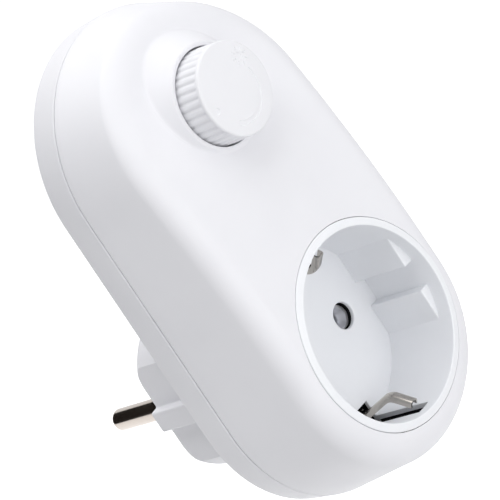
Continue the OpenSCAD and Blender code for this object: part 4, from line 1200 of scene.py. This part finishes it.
cap = Patches()
top_r, skirt_r = KNOB_R - KNOB_TAPER, KNOB_R - SKIRT_T
y_under = y_face + FACE_T
rows = [(top_r - KNOB_EDGE * out, y_face + KNOB_EDGE * back, 0) for out, back in quarter_round(FADE_STEPS)]
rows += [(top_r, y_face + KNOB_EDGE + FLUTE_LEAD + (FLUTE_STOP - KNOB_EDGE) * step, FLUTE_DEPTH * step)
         for step in np.linspace(0, 1, FADE_STEPS + 1)]
rows += [(KNOB_R, y_foot, FLUTE_DEPTH), (skirt_r, y_foot, 0), (skirt_r, y_under, 0), (HUB_R, y_under, 0),
         (HUB_R, y_hub, 0), (HUB_BORE, y_hub, 0), (HUB_BORE, y_under, 0)]
rings = [knob_ring(*row) for row in rows]
cap.loft(rings)
cap.fan(rings[-1])
print("knob rings:", len(rings))

# %% Sink the marks into the knob's face
MARK_DEPTH = 0.16
MARK_DRAFT = 0.12
WEDGE_TURN = (13, -127)
WEDGE_R = (5.8, 7.0)
WEDGE_HALF = (0.2, 0.6)
WEDGE_STEPS = 40
LAMP_AT = np.array((5.4, 4.2))
LAMP_R = 0.8
LAMP_STEPS = 24
DIM_AT = (-7.3, -1.0)
DIM_R = 0.7
DIM_STEPS = 20
RAYS = 8
RAY_GAP = 0.35
RAY_LEN = 0.85
RAY_HALF = 0.2
sunk = []


def sink(outline):
    """Cuts a shallow recess; outline(inset) gives points (x, z) about the knob's axis."""
    top, floor_loop = [[(x, y, KNOB_Z + z) for x, z in outline(inset)]
                       for inset, y in ((0, y_face), (MARK_DRAFT, y_face + MARK_DEPTH))]
    cap.loft([top, floor_loop])
    cap.fill(floor_loop)
    sunk.append(top)


def wedge(inset):
    """A band round the axis that grows from its bright end to its dim end."""
    along = way(np.radians(np.linspace(*WEDGE_TURN, WEDGE_STEPS)))
    middle = np.linspace(*WEDGE_R, WEDGE_STEPS)
    grow = np.linspace(*WEDGE_HALF, WEDGE_STEPS) - inset
    return np.vstack((along * (middle + grow)[:, None], (along * (middle - grow)[:, None])[::-1]))


def ray(angle):
    """A short bar that points away from the lamp mark."""
    along = np.array((math.cos(angle), math.sin(angle)))
    across = np.array((-along[1], along[0]))

    def outline(inset):
        start = LAMP_AT + along * (LAMP_R + RAY_GAP + inset)
        end = LAMP_AT + along * (LAMP_R + RAY_GAP + RAY_LEN - inset)
        wide = across * (RAY_HALF - inset)
        return [start - wide, end - wide, end + wide, start + wide]

    return outline


sink(wedge)
sink(lambda inset: arc(LAMP_AT, LAMP_R - inset, 0, 360, LAMP_STEPS)[:-1])
sink(lambda inset: arc(DIM_AT, DIM_R - inset, 0, 360, DIM_STEPS)[:-1])
for angle in np.radians(np.arange(RAYS) * 360 / RAYS):
    sink(ray(angle))
cap.fill(rings[0], *sunk)
piece("knob_cap", cap, "knob", "knob", "dimmer_knob", crease=40)

# %% [markdown]
# ## Cover screws
# Three pan-head screws hold the two shells together from the back. Their heads show in round
# pockets. A head is a turned profile, and its cross recess is a loft that narrows as it goes in.

# %% Make the cover screws
HEAD_H = 1.0
HEAD_TOP_R = 2.0
HEAD_EDGES = (0, 0.02, 0.05, 0.35, 0)
CROSS_W = 0.5
CROSS_REACH = 1.6
CROSS_DEPTH = 0.6
CROSS_TAPER = 0.7
SCREW_R = 1.4
head_y = pocket_y + HEAD_H
cross = []
for quarter in range(4):
    c, s = round(math.cos(quarter * math.pi / 2)), round(math.sin(quarter * math.pi / 2))
    for x, z in ((CROSS_REACH, -CROSS_W), (CROSS_REACH, CROSS_W), (CROSS_W, CROSS_W)):
        cross.append((c * x - s * z, s * x + c * z))
for count, (x, z) in enumerate(SCREWS):
    screw = Patches()
    head = eased([(SCREW_R, screws_low[1]), (SCREW_R, pocket_y), (HEAD_R, pocket_y), (HEAD_R, head_y),
                  (HEAD_TOP_R, head_y)], HEAD_EDGES)
    rings = turned(head, x, z, CIRCLE_STEPS)
    screw.loft(rings)
    screw.cap(rings[0])
    recess = [[(x + px * size, head_y - depth, z + pz * size) for px, pz in cross]
              for size, depth in ((1.0, 0), (CROSS_TAPER, CROSS_DEPTH))]
    screw.fill(rings[-1], recess[0])
    screw.loft(recess)
    screw.cap(recess[1])
    stands_for = ["cover_screws"] if count == 0 else []
    piece(f"cover_screw_{count}", screw, "steel", "casing", *stands_for)
